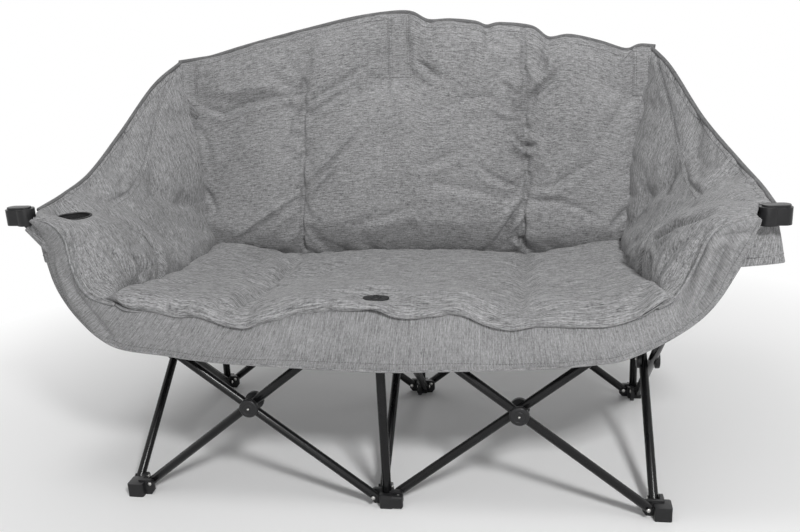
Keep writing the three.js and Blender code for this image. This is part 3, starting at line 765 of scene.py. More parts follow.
def scissor_tubes():
    """(node, cap node, foot, run, across, side, arm) of every crossed tube."""
    names = {-1: "left", 0: "centre", 1: "right"}
    found = []
    for row, y in (("front", -REAR), ("rear", REAR)):
        for pair, left in (("left", -1), ("right", 0)):
            for foot, run, side in ((left, 1, 1), (left + 1, -1, -1)):
                arm = row == "front" and foot == 0
                node = f"{pair}_arm_tube" if arm else f"{row}_{pair}_tube_from_{names[foot]}"
                cap = f"{row}_{pair}_cap_{'inner' if side > 0 else 'outer'}"
                place = Vector((foot * BAY, y + SHIFT, PIVOT_Z))
                found.append((node, cap, place, Vector((run, 0, 0)), Vector((0, 1, 0)), side, arm))
    for c in (-1, 0, 1):
        pair = "centre" if c == 0 else f"{names[c]}_side"
        for row, y, run, side in (("front", -REAR, 1, -1), ("rear", REAR, -1, 1)):
            node = f"{pair}_tube_from_{row}"
            cap = f"{pair}_cap_{'inner' if side > 0 else 'outer'}"
            place = Vector((c * BAY, y + SHIFT, PIVOT_Z))
            found.append((node, cap, place, Vector((0, run, 0)), Vector((1, 0, 0)), side, False))
    return found


def tube_line(foot, run, across, side):
    start = foot + run * PIVOT_OUT + across * (side * OFFSET)
    way = run * math.cos(SLOPE) + UP * math.sin(SLOPE)
    return start, way


def arm_line(start, way, sign):
    """Bend and tip of an arm tube."""
    return start + way * (BAR + ARM_BEND_AT), Vector((sign * TIP[0], start.y, TIP[1]))


def straight_tube(name, start, end, radius):
    """A cylinder with hollow, softly turned-in ends."""
    wall, hollow = 0.0016, 0.012
    length = (end - start).length
    bpy.ops.mesh.primitive_cylinder_add(vertices=28, radius=radius, depth=length, location=(0, 0, 0))
    piece = named(name)
    select_faces(piece, lambda c, n: abs(n.z) > 0.9)
    edit(piece, lambda: bpy.ops.mesh.inset(thickness=wall, use_individual=True))
    for sign in (1, -1):
        inwards = {"value": (0, 0, -sign * hollow)}
        select_faces(piece, lambda c, n: n.z * sign > 0.9 and c.xy.length < 0.0005 and c.z * sign > 0)
        edit(piece, lambda: bpy.ops.mesh.extrude_region_move(TRANSFORM_OT_translate=inwards))
    bevelled(piece, 0.0006, 2, 40)
    smoothed(piece, 40)
    return placed(piece, axis_frame((start + end) / 2, end - start))


def bent_tube(name, points, radius, bend):
    """A tube through three points with a rounded bend, made from a curve."""
    a, b, c = points
    before = b + (a - b).normalized() * bend
    after = b + (c - b).normalized() * bend
    path = [a] + [before.lerp(b, t).lerp(b.lerp(after, t), t) for t in np.linspace(0, 1, 14)] + [c]
    bpy.ops.curve.primitive_nurbs_path_add()
    piece = named(name)
    curve = piece.data
    curve.splines.clear()
    line = curve.splines.new("POLY")
    line.points.add(len(path) - 1)
    for point, co in zip(line.points, path):
        point.co = (*co, 1)
    curve.dimensions = "3D"
    curve.bevel_depth = radius
    curve.bevel_resolution = 6
    curve.use_fill_caps = True
    piece.location = (0, 0, 0)
    only(piece)
    bpy.ops.object.convert(target="MESH")
    piece = named(name)
    edit(piece, all_selected, lambda: bpy.ops.mesh.remove_doubles(threshold=WELD))
    return smoothed(piece, 50)


def turned_cap(name, profile, matrix, sides=48):
    """A round piece turned from (radius, height) steps on a disc."""
    radius, height = profile[0]
    base = (0, 0, height)
    bpy.ops.mesh.primitive_circle_add(vertices=sides, radius=radius, fill_type="NGON", location=base)
    piece = named(name)
    only(piece)
    bpy.ops.object.transform_apply(location=True)
    bpy.ops.object.mode_set(mode="EDIT")
    bpy.ops.mesh.select_mode(type="FACE")
    bpy.ops.mesh.select_all(action="SELECT")
    for r, z in profile[1:]:
        bpy.ops.mesh.extrude_region_move(TRANSFORM_OT_translate={"value": (0, 0, z - height)})
        bpy.ops.transform.resize(value=(r / radius, r / radius, 1), center_override=(0, 0, z))
        radius, height = r, z
    bpy.ops.mesh.select_all(action="SELECT")
    bpy.ops.mesh.normals_make_consistent(inside=False)
    bpy.ops.object.mode_set(mode="OBJECT")
    smoothed(piece, 32)
    return placed(piece, matrix)


def rivet_head(name, place, axis, scale=1.0):
    r = metal().rivet_radius * scale
    profile = [
        (r, -0.0006), (r, 0.0002), (r * 0.93, 0.0009),
        (r * 0.7, 0.0017), (r * 0.35, 0.0021), (r * 0.08, 0.0022),
    ]
    return dress(turned_cap(name, profile, axis_frame(place, axis), 24), "rivet")


def copied(source, name):
    """A new piece with a copy of another one's mesh."""
    piece = bpy.data.objects.new(name, source.data.copy())
    piece.data.name = name
    bpy.context.scene.collection.objects.link(piece)
    return piece


def moulded_copy(node, name, bevel):
    """A CAD piece with its edges rounded as moulded plastic."""
    piece = copied(frame["nodes"][node], name)
    edit(
        piece,
        all_selected,
        lambda: bpy.ops.mesh.remove_doubles(threshold=WELD),
        lambda: bpy.ops.mesh.dissolve_limited(angle_limit=math.radians(3)),
    )
    bevelled(piece, bevel, 3, 28)
    return smoothed(piece, 30)


class LOVESEAT_OT_tubes(bpy.types.Operator):
    """Steel tubes of the crossings and the two bent arm tubes"""

    bl_idname = "loveseat.tubes"
    bl_label = "Tubes"

    def execute(self, context):
        radius = metal().tube_radius
        for node, _, foot, run, across, side, arm in scissor_tubes():
            start, way = tube_line(foot, run, across, side)
            if arm:
                bend, tip = arm_line(start, way, run.x)
                piece = bent_tube(f"{node}_coat", (start - way * TUBE_END, bend, tip), radius, ARM_BEND)
            else:
                end = start + way * (BAR + TUBE_END)
                piece = straight_tube(f"{node}_coat", start - way * TUBE_END, end, radius)
            ridden(dress(piece, "tube"), node, node)
        return {"FINISHED"}


class LOVESEAT_OT_poles(bpy.types.Operator):
    """Upright rear poles and the front centre post"""

    bl_idname = "loveseat.poles"
    bl_label = "Poles"

    def execute(self, context):
        for node in ("rear_left_pole", "rear_centre_pole", "rear_right_pole", "front_centre_post"):
            low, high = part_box(node)
            middle = (Vector(low) + Vector(high)) / 2
            start = Vector((middle.x, middle.y, low[2]))
            end = Vector((middle.x, middle.y, high[2]))
            ridden(dress(straight_tube(f"{node}_coat", start, end, metal().tube_radius), "tube"), node, node)
        return {"FINISHED"}


# How each arm end is set on its tube
ARM_END_SET = {"left_arm_end": (0.005, 0, 0.007), "right_arm_end": (0.003, 0, -0.008)}
# Rounding of the moulded pieces, by the last word of their node
MOULD_EDGES = {"foot": 0.0032, "hub": 0.0014, "end": 0.0034}
# Front wall of the middle foot: its size and its middle
FOOT_WALL = (0.046, 0.013, 0.0272)
FOOT_WALL_AT = (0.0104, SHIFT - REAR - 0.014, 0.0137)
# How far the rivet heads stand from a tube's middle line: on its outer side, and behind it at the feet
RIVET_OUT = 0.0112
RIVET_BEHIND = 0.0176
RIGHT_ARM_RIVET_BEHIND = 0.021
CAP_RIVET_OUT = 0.0143


class LOVESEAT_OT_hubs(bpy.types.Operator):
    """Foot hubs, upper hubs and arm ends, with their rivets"""

    bl_idname = "loveseat.hubs"
    bl_label = "Hubs and arm ends"

    def execute(self, context):
        for node in sorted(frame["nodes"]):
            bevel = MOULD_EDGES.get(node.split("_")[-1])
            if bevel:
                piece = moulded_copy(node, f"{node}_moulding", bevel)
                if node in ARM_END_SET:
                    placed(piece, Matrix.Translation(ARM_END_SET[node]))
                ridden(dress(piece, "plastic"), node, node)
        self.foot_wall()
        self.rivets()
        return {"FINISHED"}

    @staticmethod
    def foot_wall():
        """Front wall of the middle foot, which closes it before the right tube."""
        bpy.ops.mesh.primitive_cube_add(size=1, location=(0, 0, 0))
        piece = named("front_centre_foot_wall")
        bpy.ops.transform.resize(value=FOOT_WALL)
        only(piece)
        bpy.ops.object.transform_apply(scale=True)
        bevelled(piece, 0.0046, 4, 40)
        smoothed(piece, 35)
        placed(piece, Matrix.Translation(FOOT_WALL_AT))
        ridden(dress(piece, "plastic"), "front_centre_foot")

    def rivets(self):
        """A bright head on the outer side of each tube end."""
        count = 0
        for node, _, foot, run, across, side, arm in scissor_tubes():
            start, way = tube_line(foot, run, across, side)
            outward = across * side
            for share in (0.0, 1.0):
                far = share == 1.0 and arm and side > 0
                face = outward * (-1 if far else 1)
                end = start + way * (BAR * share)
                hub = self.hub_at(end, share, run)
                places = [(end + face * RIVET_OUT, face)]
                if share == 0.0:
                    behind = RIGHT_ARM_RIVET_BEHIND if node == "right_arm_tube" else RIVET_BEHIND
                    places.append((start - outward * behind, -outward))
                for spot, way_out in places:
                    ridden(rivet_head(f"rivet_{count:02d}", spot, way_out), hub)
                    count += 1

    @staticmethod
    def hub_at(place, share, run):
        """The hub whose ear holds a tube end."""
        middle = place + run * (PIVOT_OUT if share else -PIVOT_OUT)
        column = ("left", "centre", "right")[round(middle.x / BAY) + 1]
        row = "front" if middle.y < 0 else "rear"
        return f"{row}_{column}_{'hub' if share else 'foot'}"


class LOVESEAT_OT_caps(bpy.types.Operator):
    """Round plastic caps on the crossings, the outer ones with the crossing rivet"""

    bl_idname = "loveseat.caps"
    bl_label = "Crossing caps"

    def execute(self, context):
        r = metal().cap_radius
        profile = [
            (r * 0.96, 0.0042), (r, 0.005), (r, 0.0105), (r * 0.985, 0.0121),
            (r * 0.93, 0.0133), (r * 0.86, 0.0139), (r * 0.62, 0.0141), (r * 0.58, 0.0136),
            (r * 0.5, 0.0136), (r * 0.46, 0.0141), (r * 0.05, 0.0142),
        ]
        for _, cap, foot, run, across, side, _ in scissor_tubes():
            start, way = tube_line(foot, run, across, side)
            place = start + way * (BAR / 2)
            outward = across * side
            piece = turned_cap(f"{cap}_moulding", profile, axis_frame(place, outward, way))
            ridden(dress(piece, "plastic"), cap, cap)
            ridden(rivet_head(f"{cap}_rivet", place + outward * CAP_RIVET_OUT, outward, 0.6), cap)
        return {"FINISHED"}


# Cover pieces

# Left to right along the top edge of the back: place across and height
BACK_TOP = [
    (-551, 849), (-494, 855), (-464, 859), (-393, 876), (-320, 892), (-245, 907), (-126, 929),
    (-38, 938), (12, 936), (50, 917), (100, 916), (154, 909), (181, 899), (212, 903),
    (280, 893), (317, 868), (364, 871), (428, 855), (484, 836), (514, 844), (547, 841),
]
# Front face of the back from its foot up: share of the height, depth and share of the full width
BACK_ROWS = [
    (0.0, 213, 0.95), (0.05, 206, 0.951), (0.09, 197, 0.953), (0.125, 187, 0.955), (0.18, 186, 0.958),
    (0.32, 196, 0.966), (0.56, 214, 0.98), (0.8, 230, 0.99), (0.95, 238, 0.997), (1.0, 247, 1.0),
]
BACK_FOOT = 370
# Seams and creases of the back, seen from the front: a crease is its height, its width and its line
BACK_SEAMS = [
    [(-240, 800), (-250, 636), (-252, 566), (-264, 398)],
    [(264, 890), (264, 748), (268, 626), (270, 562), (266, 512), (260, 400)],
]
BACK_CREASES = [
    (-7, 9, [(-504, 752), (-460, 737), (-436, 727), (-404, 744), (-328, 762), (-246, 766)]),
    (5, 16, [(-470, 775), (-400, 780), (-300, 795)]),
    (-5, 8, [(-232, 746), (-146, 794), (-86, 826)]),
    (-4, 8, [(-228, 722), (-186, 745), (-140, 772)]),
    (6, 8, [(-242, 566), (-166, 634), (-108, 698)]),
    (4, 7, [(-232, 540), (-190, 585), (-150, 628)]),
    (7, 8, [(-424, 440), (-346, 488), (-258, 544)]),
    (-4, 14, [(-148, 464), (-62, 484), (4, 506)]),
    (-8, 9, [(24, 834), (52, 811), (76, 792)]),
    (-4, 14, [(74, 724), (120, 742), (166, 750), (222, 734)]),
    (6, 9, [(266, 742), (310, 790), (350, 856)]),
    (-6, 7, [(272, 738), (326, 782), (366, 826)]),
    (-5, 8, [(260, 744), (236, 764), (204, 790)]),
    (5, 8, [(258, 700), (214, 712), (176, 740)]),
    (-9, 7, [(244, 668), (256, 644), (272, 634), (296, 646)]),
    (5, 9, [(246, 650), (262, 622), (284, 618)]),
    (-6, 11, [(276, 544), (332, 552), (388, 586), (438, 612)]),
    (-5, 9, [(276, 518), (344, 516), (388, 500), (436, 468)]),
    (-5, 9, [(160, 598), (198, 570), (246, 548)]),
    (-9, 7, [(262, 514), (240, 482), (198, 420)]),
    (6, 8, [(280, 512), (236, 452), (222, 420)]),
    (-8, 7, [(240, 434), (262, 416), (274, 386)]),
    (-4, 14, [(46, 562), (140, 546), (212, 524)]),
    (-6, 15, [(432, 622), (452, 676), (486, 738)]),
    (-8, 8, [(456, 454), (478, 482), (494, 498)]),
    (5, 12, [(300, 850), (322, 820), (334, 780)]),
    (-6, 9, [(318, 866), (312, 838), (296, 800)]),
    (-4, 10, [(182, 898), (186, 870), (196, 840)]),
    (-4, 10, [(52, 915), (60, 885), (64, 860)]),
    (-5, 10, [(-500, 700), (-482, 650), (-484, 600)]),
    (-5, 10, [(-500, 560), (-478, 520), (-470, 490)]),
    (-5, 12, [(20, 600), (70, 610), (130, 640)]),
]
# Pole pockets: left, right, foot and top
POCKETS = [(-548, -502, 748, 848), (-40, 12, 796, 936), (499, 540, 739, 842)]
POCKET_RADIUS = 0.0155
POCKET_LENGTH = 0.15


class LOVESEAT_OT_back(bpy.types.Operator):
    """Padded back panel with its pole pockets, seams and bound top edge"""

    bl_idname = "loveseat.back"
    bl_label = "Back"

    def execute(self, context):
        nu, nv = grid_size(1.09, 0.56)
        rows = [
            [(x * width, depth, BACK_FOOT + (z - BACK_FOOT) * share) for x, z in BACK_TOP]
            for share, depth, width in BACK_ROWS
        ]
        front = loft(rows, nu, nv)
        rear = front.copy()
        lean = np.linspace(0, 1, nv)[None, :] ** 0.6
        rear[:, :, 1] = np.maximum(front[:, :, 1] + 0.006, (REAR + SHIFT - 0.05) + 0.038 * lean)
        point = (front.reshape(-1, 3) - (0, SHIFT, 0)) * 1000
        plane = point[:, [0, 2]]
        held = []
        for seam in BACK_SEAMS:
            gap, _, _ = line_distance(plane, seam)
            held.append(np.nonzero(gap < 4)[0])
        for x0, x1, z0, _ in POCKETS:
            inside = (plane[:, 0] > x0) & (plane[:, 0] < x1) & (plane[:, 1] > z0)
            held.append(np.nonzero(inside)[0])
        base = front.copy()
        front[:, :, 1] -= 0.012 * crown(nu, nv)
        flat = front.reshape(-1, 3)
        seam_points = np.unique(np.concatenate(held))
        flat[seam_points] = base.reshape(-1, 3)[seam_points]
        piece = pad_piece("back_cushion", front, rear)
        swell(piece, rim_and(front.shape, seam_points), 2.2, 0.03, cap=0.012)
        finer(piece)
        shape_front(piece, self.folds)
        dress(piece, "cloth")
        self.trim(piece, base)
        sewn(piece, "back", "back_pad")
        return {"FINISHED"}

    @staticmethod
    def folds(points):
        plane = points[:, [0, 2]]
        lift = crease_lift(plane, [(1.6 * height, 0.8 * width, line) for height, width, line in BACK_CREASES])
        for seam in BACK_SEAMS:
            gap, side, _ = line_distance(plane, seam)
            lift -= 4.0 * np.exp(-((gap / 3.6) ** 2))
            lift += 1.5 * np.exp(-(((gap - 9) / 8) ** 2)) * np.sin(plane[:, 1] / 9 + side)
        return lift + rumple(points, 60.0, 2.2, 1) + rumple(points, 24.0, 0.8, 2)

    def trim(self, piece, base):
        """Bound top edge, pole pockets behind, and stitching."""
        tree = surface_of(piece)
        edge = base[:, -1]
        binding = tube_along("back_binding", even(edge + (0, 0.003, 0), 260), 0.0048, 10, 1.1)
        # Its darker cloth is painted shade along the top edge
        sewn(dress(binding, "binding"), "back")
        runs = []
        for x0, x1, z0, z1 in POCKETS:
            for x in (x0 + 2, x0 + 8, x1 - 8, x1 - 2):
                runs.append([(x, z1 - 8), (x, z0)])
            runs.append([(x0, z0 + 2), (x1, z0 + 2)])
        runs.append([(x, z - 14) for x, z in BACK_TOP])
        lines = []
        for run in runs:
            points = [(x, 100, z) for x, z in run]
            places = even(np.array(points, float) / 1000 + (0, SHIFT, 0), max(8, int(len(run) * 12)))
            lines.append(on_surface(tree, places, (0, 1, 0), 0.0028 if run[0][0] == run[-1][0] else 0.0004))
        sewn(stitches("back_stitching", lines), "back")
        for k, (x0, x1, z0, z1) in enumerate(POCKETS):
            self.strip(k, tree, x0, x1, z0, z1)
            self.pocket(k, z1)

    @staticmethod
    def strip(k, tree, x0, x1, z0, z1):
        """The doubled cloth in front of a pole pocket."""
        nu, nv = 14, 34
        flat = [[(x, 100, z) for z in np.linspace(z0, z1 - 3, nv)] for x in np.linspace(x0, x1, nu)]
        places = np.array(flat, float).reshape(-1, 3) / 1000 + (0, SHIFT, 0)
        found, normals = on_surface(tree, places, (0, 1, 0))
        show = (found + normals * 0.0026).reshape(nu, nv, 3)
        piece = pad_piece(f"pocket_strip_{k}", show, (found - normals * 0.001).reshape(nu, nv, 3))
        smoothed(piece, 40)
        sewn(dress(piece, "cloth"), "back")

    @staticmethod
    def pocket(k, top):
        """A sleeve sewn behind the back, in which the pole's top stands."""
        size = {"radius": POCKET_RADIUS, "depth": POCKET_LENGTH}
        bpy.ops.mesh.primitive_cylinder_add(vertices=24, location=(0, 0, 0), **size)
        piece = named(f"pole_pocket_{k}")
        select_faces(piece, lambda c, n: n.z < -0.9)
        edit(piece, lambda: bpy.ops.mesh.delete(type="FACE"))
        select_faces(piece, lambda c, n: abs(n.z) < 0.5)
        edit(piece, lambda: bpy.ops.mesh.subdivide(number_cuts=1))
        applied(piece, "SOLIDIFY", thickness=0.0022, offset=-1)
        bevelled(piece, 0.003, 3, 50)
        smoothed(piece, 50)
        placed(piece, Matrix.Translation(((k - 1) * BAY, REAR + SHIFT, top / 1000 - 0.079)))
        edit(piece, all_selected, lambda: bpy.ops.uv.cube_project(cube_size=1.0))
        piece.data.uv_layers[0].name = "cloth"
        sewn(dress(piece, "cloth"), "back")


# Seam under the front roll of the seat, left to right: place across and height
SEAT_SEAM = [
    (-536, 434), (-498, 432), (-484, 428), (-471, 423), (-422, 414), (-376, 405), (-336, 404), (-304, 397),
    (-250, 387), (-213, 394), (-174, 402), (-135, 411), (-59, 420), (-3, 420), (52, 410), (106, 410),
    (148, 415), (174, 410), (207, 398), (248, 391), (283, 393), (326, 393), (369, 394), (415, 399),
    (454, 411), (481, 426), (507, 442), (523, 447),
]
# Rear edge of the seat and hem of the band below it, to both sides of the middle
SEAT_REAR = [
    (0, 392), (60, 391), (137, 389), (205, 387), (275, 386), (345, 390), (403, 398), (460, 410), (517, 420),
]
BAND_HEM = [(0, 306), (60, 307), (126, 310), (200, 313), (275, 316), (345, 321), (403, 328), (460, 338)]
# The ends of the seat's roll are tucked back behind the arms by this much
SEAT_TUCK = 26
# The rear edge of the seat is this share of its front
SEAT_TAPER = 0.944
# Creases of the seat, seen from above: place across and depth
SEAT_CREASES = [
    (-7, 10, [(-256, 190), (-262, 60), (-268, -80), (-274, -300)]),
    (-3, 12, [(262, 190), (264, 60), (266, -80), (268, -300)]),
    (5, 9, [(-110, 150), (-170, 40), (-235, -60), (-262, -160)]),
    (-4, 9, [(-80, 120), (-140, 20), (-215, -90)]),
    (4, 8, [(-300, 120), (-330, 20), (-345, -60)]),
    (-4, 8, [(-420, -260), (-400, -240), (-380, -228)]),
    (-6, 6, [(-300, -262), (-298, -276), (-296, -290)]),
    (4, 10, [(-480, -220), (-430, -170), (-380, -150)]),
    (3, 10, [(120, -150), (200, -170), (270, -180)]),
    (3, 9, [(300, -200), (380, -190), (460, -150)]),
    (-3, 8, [(300, -120), (380, -110), (450, -60)]),
    (3, 10, [(60, -230), (150, -240), (230, -262)]),
    (-5, 6, [(430, -262), (436, -240), (446, -226)]),
]


def height_at(line, x):
    """Height of a line that is alike on both sides of the middle."""
    return float(np.interp(abs(x), *zip(*line)))


class LOVESEAT_OT_seat(bpy.types.Operator):
    """Padded seat with a rolled front edge"""

    bl_idname = "loveseat.seat"
    bl_label = "Seat"

    def execute(self, context):
        nu, nv = grid_size(1.04, 0.56)
        rear_edge = [(x * SEAT_TAPER, height_at(SEAT_REAR, x)) for x, _ in SEAT_SEAM]

        def row(y, share, rise, drop=22):
            line = [
                (a + (c - a) * share, b + (d - b) * share + rise)
                for (a, b), (c, d) in zip(SEAT_SEAM, rear_edge)
            ]
            tuck = SEAT_TUCK if y < -290 else 0
            points = [(x, y, z) for x, z in line]
            for end, beside in ((0, 1), (-1, -2)):
                x, z = line[end]
                points[beside] = (line[beside][0], y + 0.3 * tuck, line[beside][1] - 0.1 * drop)
                points[end] = (x * 1.01, y + tuck, z - drop)
            return points

        rows = [
            row(-303, 0, 0, 0), row(-315, 0, 5, 4), row(-313, 0, 12, 10), row(-296, 0.02, 17, 20),
            row(-250, 0.12, 17, 28), row(-170, 0.4, 9), row(-80, 0.68, 3), row(30, 0.88, 2),
            row(120, 0.97, 2), row(190, 1, 1), row(216, 1, -9),
        ]
        top = loft(rows, nu, nv)
        low, high = (np.array(corner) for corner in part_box("seat_plate"))
        around = np.hypot(*(top[:, :, :2] - (low + high)[:2] / 2).transpose(2, 0, 1))
        top[:, :, 2] += (low[2] + 0.001 - top[:, :, 2]) * np.exp(-((around / 0.045) ** 4))
        under = top.copy()
        depth = np.linspace(0, 1, nv)[None, :]
        thick = 0.0065 + 0.014 * np.minimum(1, (1 - depth) * 8)
        under[:, :, 2] -= 0.0015 + np.minimum(1, depth * 12) * thick
        inside = np.clip((0.475 - np.abs(top[:, :, 0])) / 0.05, 0, 1)
        under[:, :, 1] += 0.013 * np.clip(2 - depth * 12, 0, 1) * inside
        point = (top.reshape(-1, 3) - (0, SHIFT, 0)) * 1000
        seam = (np.abs(np.abs(point[:, 0]) - 266) < 5) & (point[:, 1] > -285)
        held = np.nonzero(seam | (around.ravel() < 0.034))[0]
        base = top.copy()
        top[:, :, 2] += 0.005 * crown(nu, nv)
        top.reshape(-1, 3)[held] = base.reshape(-1, 3)[held]
        piece = pad_piece("seat_cushion", top, under)
        swell(piece, rim_and(top.shape, held), 2.0, 0.025, cap=0.011)
        finer(piece)
        shape_front(piece, self.folds)
        dress(piece, "seat cloth")
        sewn(piece, "seat", "seat_pad")
        cord = tube_along("seat_piping", even(base[:, 0] + (0, 0.004, 0.003), 300), cover().piping, 10)
        sewn(dress(cord, "cloth"), "seat")
        self.plate()
        return {"FINISHED"}

    @staticmethod
    def folds(points):
        lift = crease_lift(points[:, :2], SEAT_CREASES)
        return lift + rumple(points, 70.0, 2.4, 3) + rumple(points, 26.0, 0.8, 4)

    @staticmethod
    def plate():
        """Bare black plate with its screw."""
        node = "seat_plate"
        ridden(dress(moulded_copy(node, "seat_plate_moulding", 0.0012), "plate"), node, node)
        low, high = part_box(node)
        top = Vector(((low[0] + high[0]) / 2, (low[1] + high[1]) / 2, high[2]))
        profile = [
            (0.0062, -0.001), (0.0062, 0.0005), (0.0056, 0.0012),
            (0.0034, 0.0015), (0.003, 0.0004), (0.0003, 0.0004),
        ]
        ridden(dress(turned_cap("seat_plate_screw", profile, axis_frame(top, UP), 32), "plate"), node)


# Top edge of each wing, from the corner of the back to the arm end
WING_TOP = {
    "left": [
        (543, 248, 849), (590, 182, 800), (634, 75, 706), (648, -55, 640), (660, -150, 614), (663, -240, 603),
    ],
    "right": [
        (536, 248, 840), (570, 182, 799), (621, 75, 706), (668, -55, 640), (686, -150, 614), (690, -240, 598),
    ],
}
# Rows of both wings below it, down to the seat
WING_ROWS = [
    [(496, 227, 630), (540, 156, 618), (580, 62, 600), (613, -58, 594), (640, -150, 602), (655, -238, 603)],
    [(490, 214, 520), (528, 140, 524), (560, 54, 538), (594, -60, 566), (628, -150, 594), (650, -238, 600)],
    [(487, 206, 462), (511, 146, 464), (535, 54, 488), (558, -66, 530), (600, -150, 572), (638, -238, 588)],
    [(486, 198, 424), (490, 146, 428), (497, 54, 442), (508, -66, 462), (545, -150, 502), (582, -238, 536)],
    [(476, 194, 390), (474, 146, 394), (480, 54, 400), (488, -62, 406), (505, -150, 418), (520, -238, 428)],
]
# Seam that parts each wing, and the wings' creases, seen from the side: depth and height
WING_SEAM = [(236, 842), (200, 793), (155, 737), (115, 682), (70, 632), (0, 592), (-90, 576)]
WING_CREASES = [
    (4, 12, [(120, 650), (110, 600), (90, 530)]),
    (-4, 12, [(75, 610), (60, 570), (40, 520)]),
    (3, 10, [(-40, 640), (-60, 600), (-90, 580)]),
    (-3, 10, [(150, 600), (120, 540), (80, 500)]),
    (-3, 9, [(90, 715), (70, 690), (52, 640)]),
    (-20, 10, [(-126, 400), (-112, 446), (-102, 480), (-106, 520), (-126, 565)]),
    (7, 14, [(-40, 410), (-46, 460), (-66, 520)]),
    (-8, 8, [(20, 415), (-4, 460), (-20, 505)]),
    (-7, 8, [(80, 425), (56, 462), (30, 500)]),
    (-6, 9, [(160, 440), (130, 470), (100, 520)]),
]
# Arm rows from the seat up the inner face and across the top; the corded edge is in front of them
ARM_ROWS = [
    [(512, -112, 408), (496, -140, 408), (500, -180, 411), (506, -225, 415)],
    [(538, -96, 462), (508, -118, 472), (515, -165, 487), (531, -222, 494)],
    [(568, -108, 512), (535, -126, 521), (543, -172, 538), (557, -224, 549)],
    [(606, -148, 554), (578, -160, 560), (581, -190, 570), (591, -230, 575)],
    [(654, -186, 598), (650, -200, 597), (652, -222, 600), (664, -243, 604)],
]
# Folds of the arms, seen from the side: depth and height
ARM_CREASES = {
    "left": [
        (-15, 6, [(-190, 494), (-189, 468), (-185, 440)]),
        (9, 9, [(-170, 500), (-166, 468), (-162, 440)]),
        (-10, 6, [(-152, 486), (-150, 464), (-148, 440)]),
        (-8, 8, [(-245, 540), (-236, 504), (-226, 470)]),
        (7, 9, [(-215, 520), (-210, 490), (-205, 455)]),
        (-6, 5, [(-282, 574), (-285, 563), (-291, 512), (-296, 470), (-298, 450)]),
        (5, 10, [(-150, 560), (-134, 530), (-128, 500)]),
    ],
    "right": [
        (8, 8, [(-150, 455), (-160, 480), (-176, 512), (-240, 556), (-288, 586)]),
        (-12, 7, [(-134, 470), (-146, 510), (-190, 550), (-262, 588)]),
        (-12, 6, [(-172, 490), (-190, 466), (-206, 440)]),
        (7, 6, [(-218, 450), (-204, 500), (-236, 545)]),
        (-9, 6, [(-234, 455), (-240, 512), (-276, 564)]),
        (6, 6, [(-258, 460), (-266, 510), (-288, 556)]),
        (-6, 5, [(-286, 570), (-290, 540), (-294, 500), (-297, 460)]),
    ],
}
# The front band runs up in front of the arms, where its upper edge is corded
# Each place gives the edge across and in height, then the hem
ARM_FRONT = {
    "left": [
        (498, 432, 497, 343), (519, 437, 538, 361), (545, 448, 568, 390), (563, 470, 590, 424),
        (572, 500, 605, 461), (576, 532, 613, 505), (578, 558, 618, 548), (587, 578, 624, 570),
        (606, 594, 632, 586), (634, 602, 640, 596),
    ],
    "right": [
        (500, 434, 494, 362), (521, 447, 536, 389), (538, 470, 568, 417), (551, 497, 592, 450),
        (562, 524, 612, 488), (571, 549, 627, 520), (583, 568, 639, 552), (602, 581, 645, 568),
        (626, 589, 648, 580), (648, 594, 652, 588),
    ],
}
# Creases of the band, seen from the front
BAND_CREASES = [
    (-9, 11, [(-572, 436), (-540, 396), (-505, 350)]),
    (3, 12, [(-150, 400), (-150, 360), (-146, 320)]),
    (-3, 10, [(250, 330), (300, 318), (340, 312)]),
    (-3, 14, [(-130, 395), (-100, 380), (-70, 390)]),
    (9, 7, [(590, 566), (572, 515), (552, 450), (536, 404)]),
    (-11, 6, [(606, 556), (588, 506), (568, 450), (550, 408)]),
    (9, 7, [(622, 560), (606, 516), (586, 462), (566, 422)]),
    (-8, 6, [(634, 556), (620, 516), (602, 470)]),
    (-9, 6, [(588, 556), (616, 562), (644, 568)]),
    (-8, 9, [(-596, 490), (-580, 452), (-562, 425)]),
    (6, 8, [(-610, 520), (-602, 480), (-590, 440)]),
]
# Upper edge and hem of each flap, from the rear to the front, where it turns in behind the band
FLAP_TOP = {
    "left": [
        (606, 70, 634), (634, 0, 618), (650, -70, 608), (660, -150, 604),
        (668, -215, 600), (662, -244, 598), (636, -252, 596),
    ],
    "right": [
        (606, 70, 634), (634, 0, 618), (654, -70, 608), (668, -150, 604),
        (684, -212, 600), (676, -238, 598), (640, -246, 596),
    ],
}
FLAP_HEM = {
    "left": [
        (630, 70, 512), (645, 0, 500), (656, -70, 494), (664, -150, 494),
        (670, -215, 496), (665, -244, 497), (636, -252, 498),
    ],
    "right": [
        (640, 70, 496), (656, 0, 474), (670, -70, 466), (690, -150, 476),
        (715, -212, 488), (709, -240, 494), (636, -246, 488),
    ],
}
# Where the band's part below the seat meets its parts in front of the arms
BAND_PART = 0.5
SIDES = (("left", -1), ("right", 1))
# Middle of the cup holder's opening
CUP = Vector((-0.61, -0.214 + SHIFT, 0.582))
CUP_RADIUS = 0.033


def mirrored(points, sign):
    return [(sign * x, *rest) for x, *rest in points]


def arm_front(side, count):
    """Places on the corded edge of an arm, from the seat up."""
    line = [(x, -300, z) for x, z, _, _ in ARM_FRONT[side]]
    return even(np.array(line, float), count).tolist()


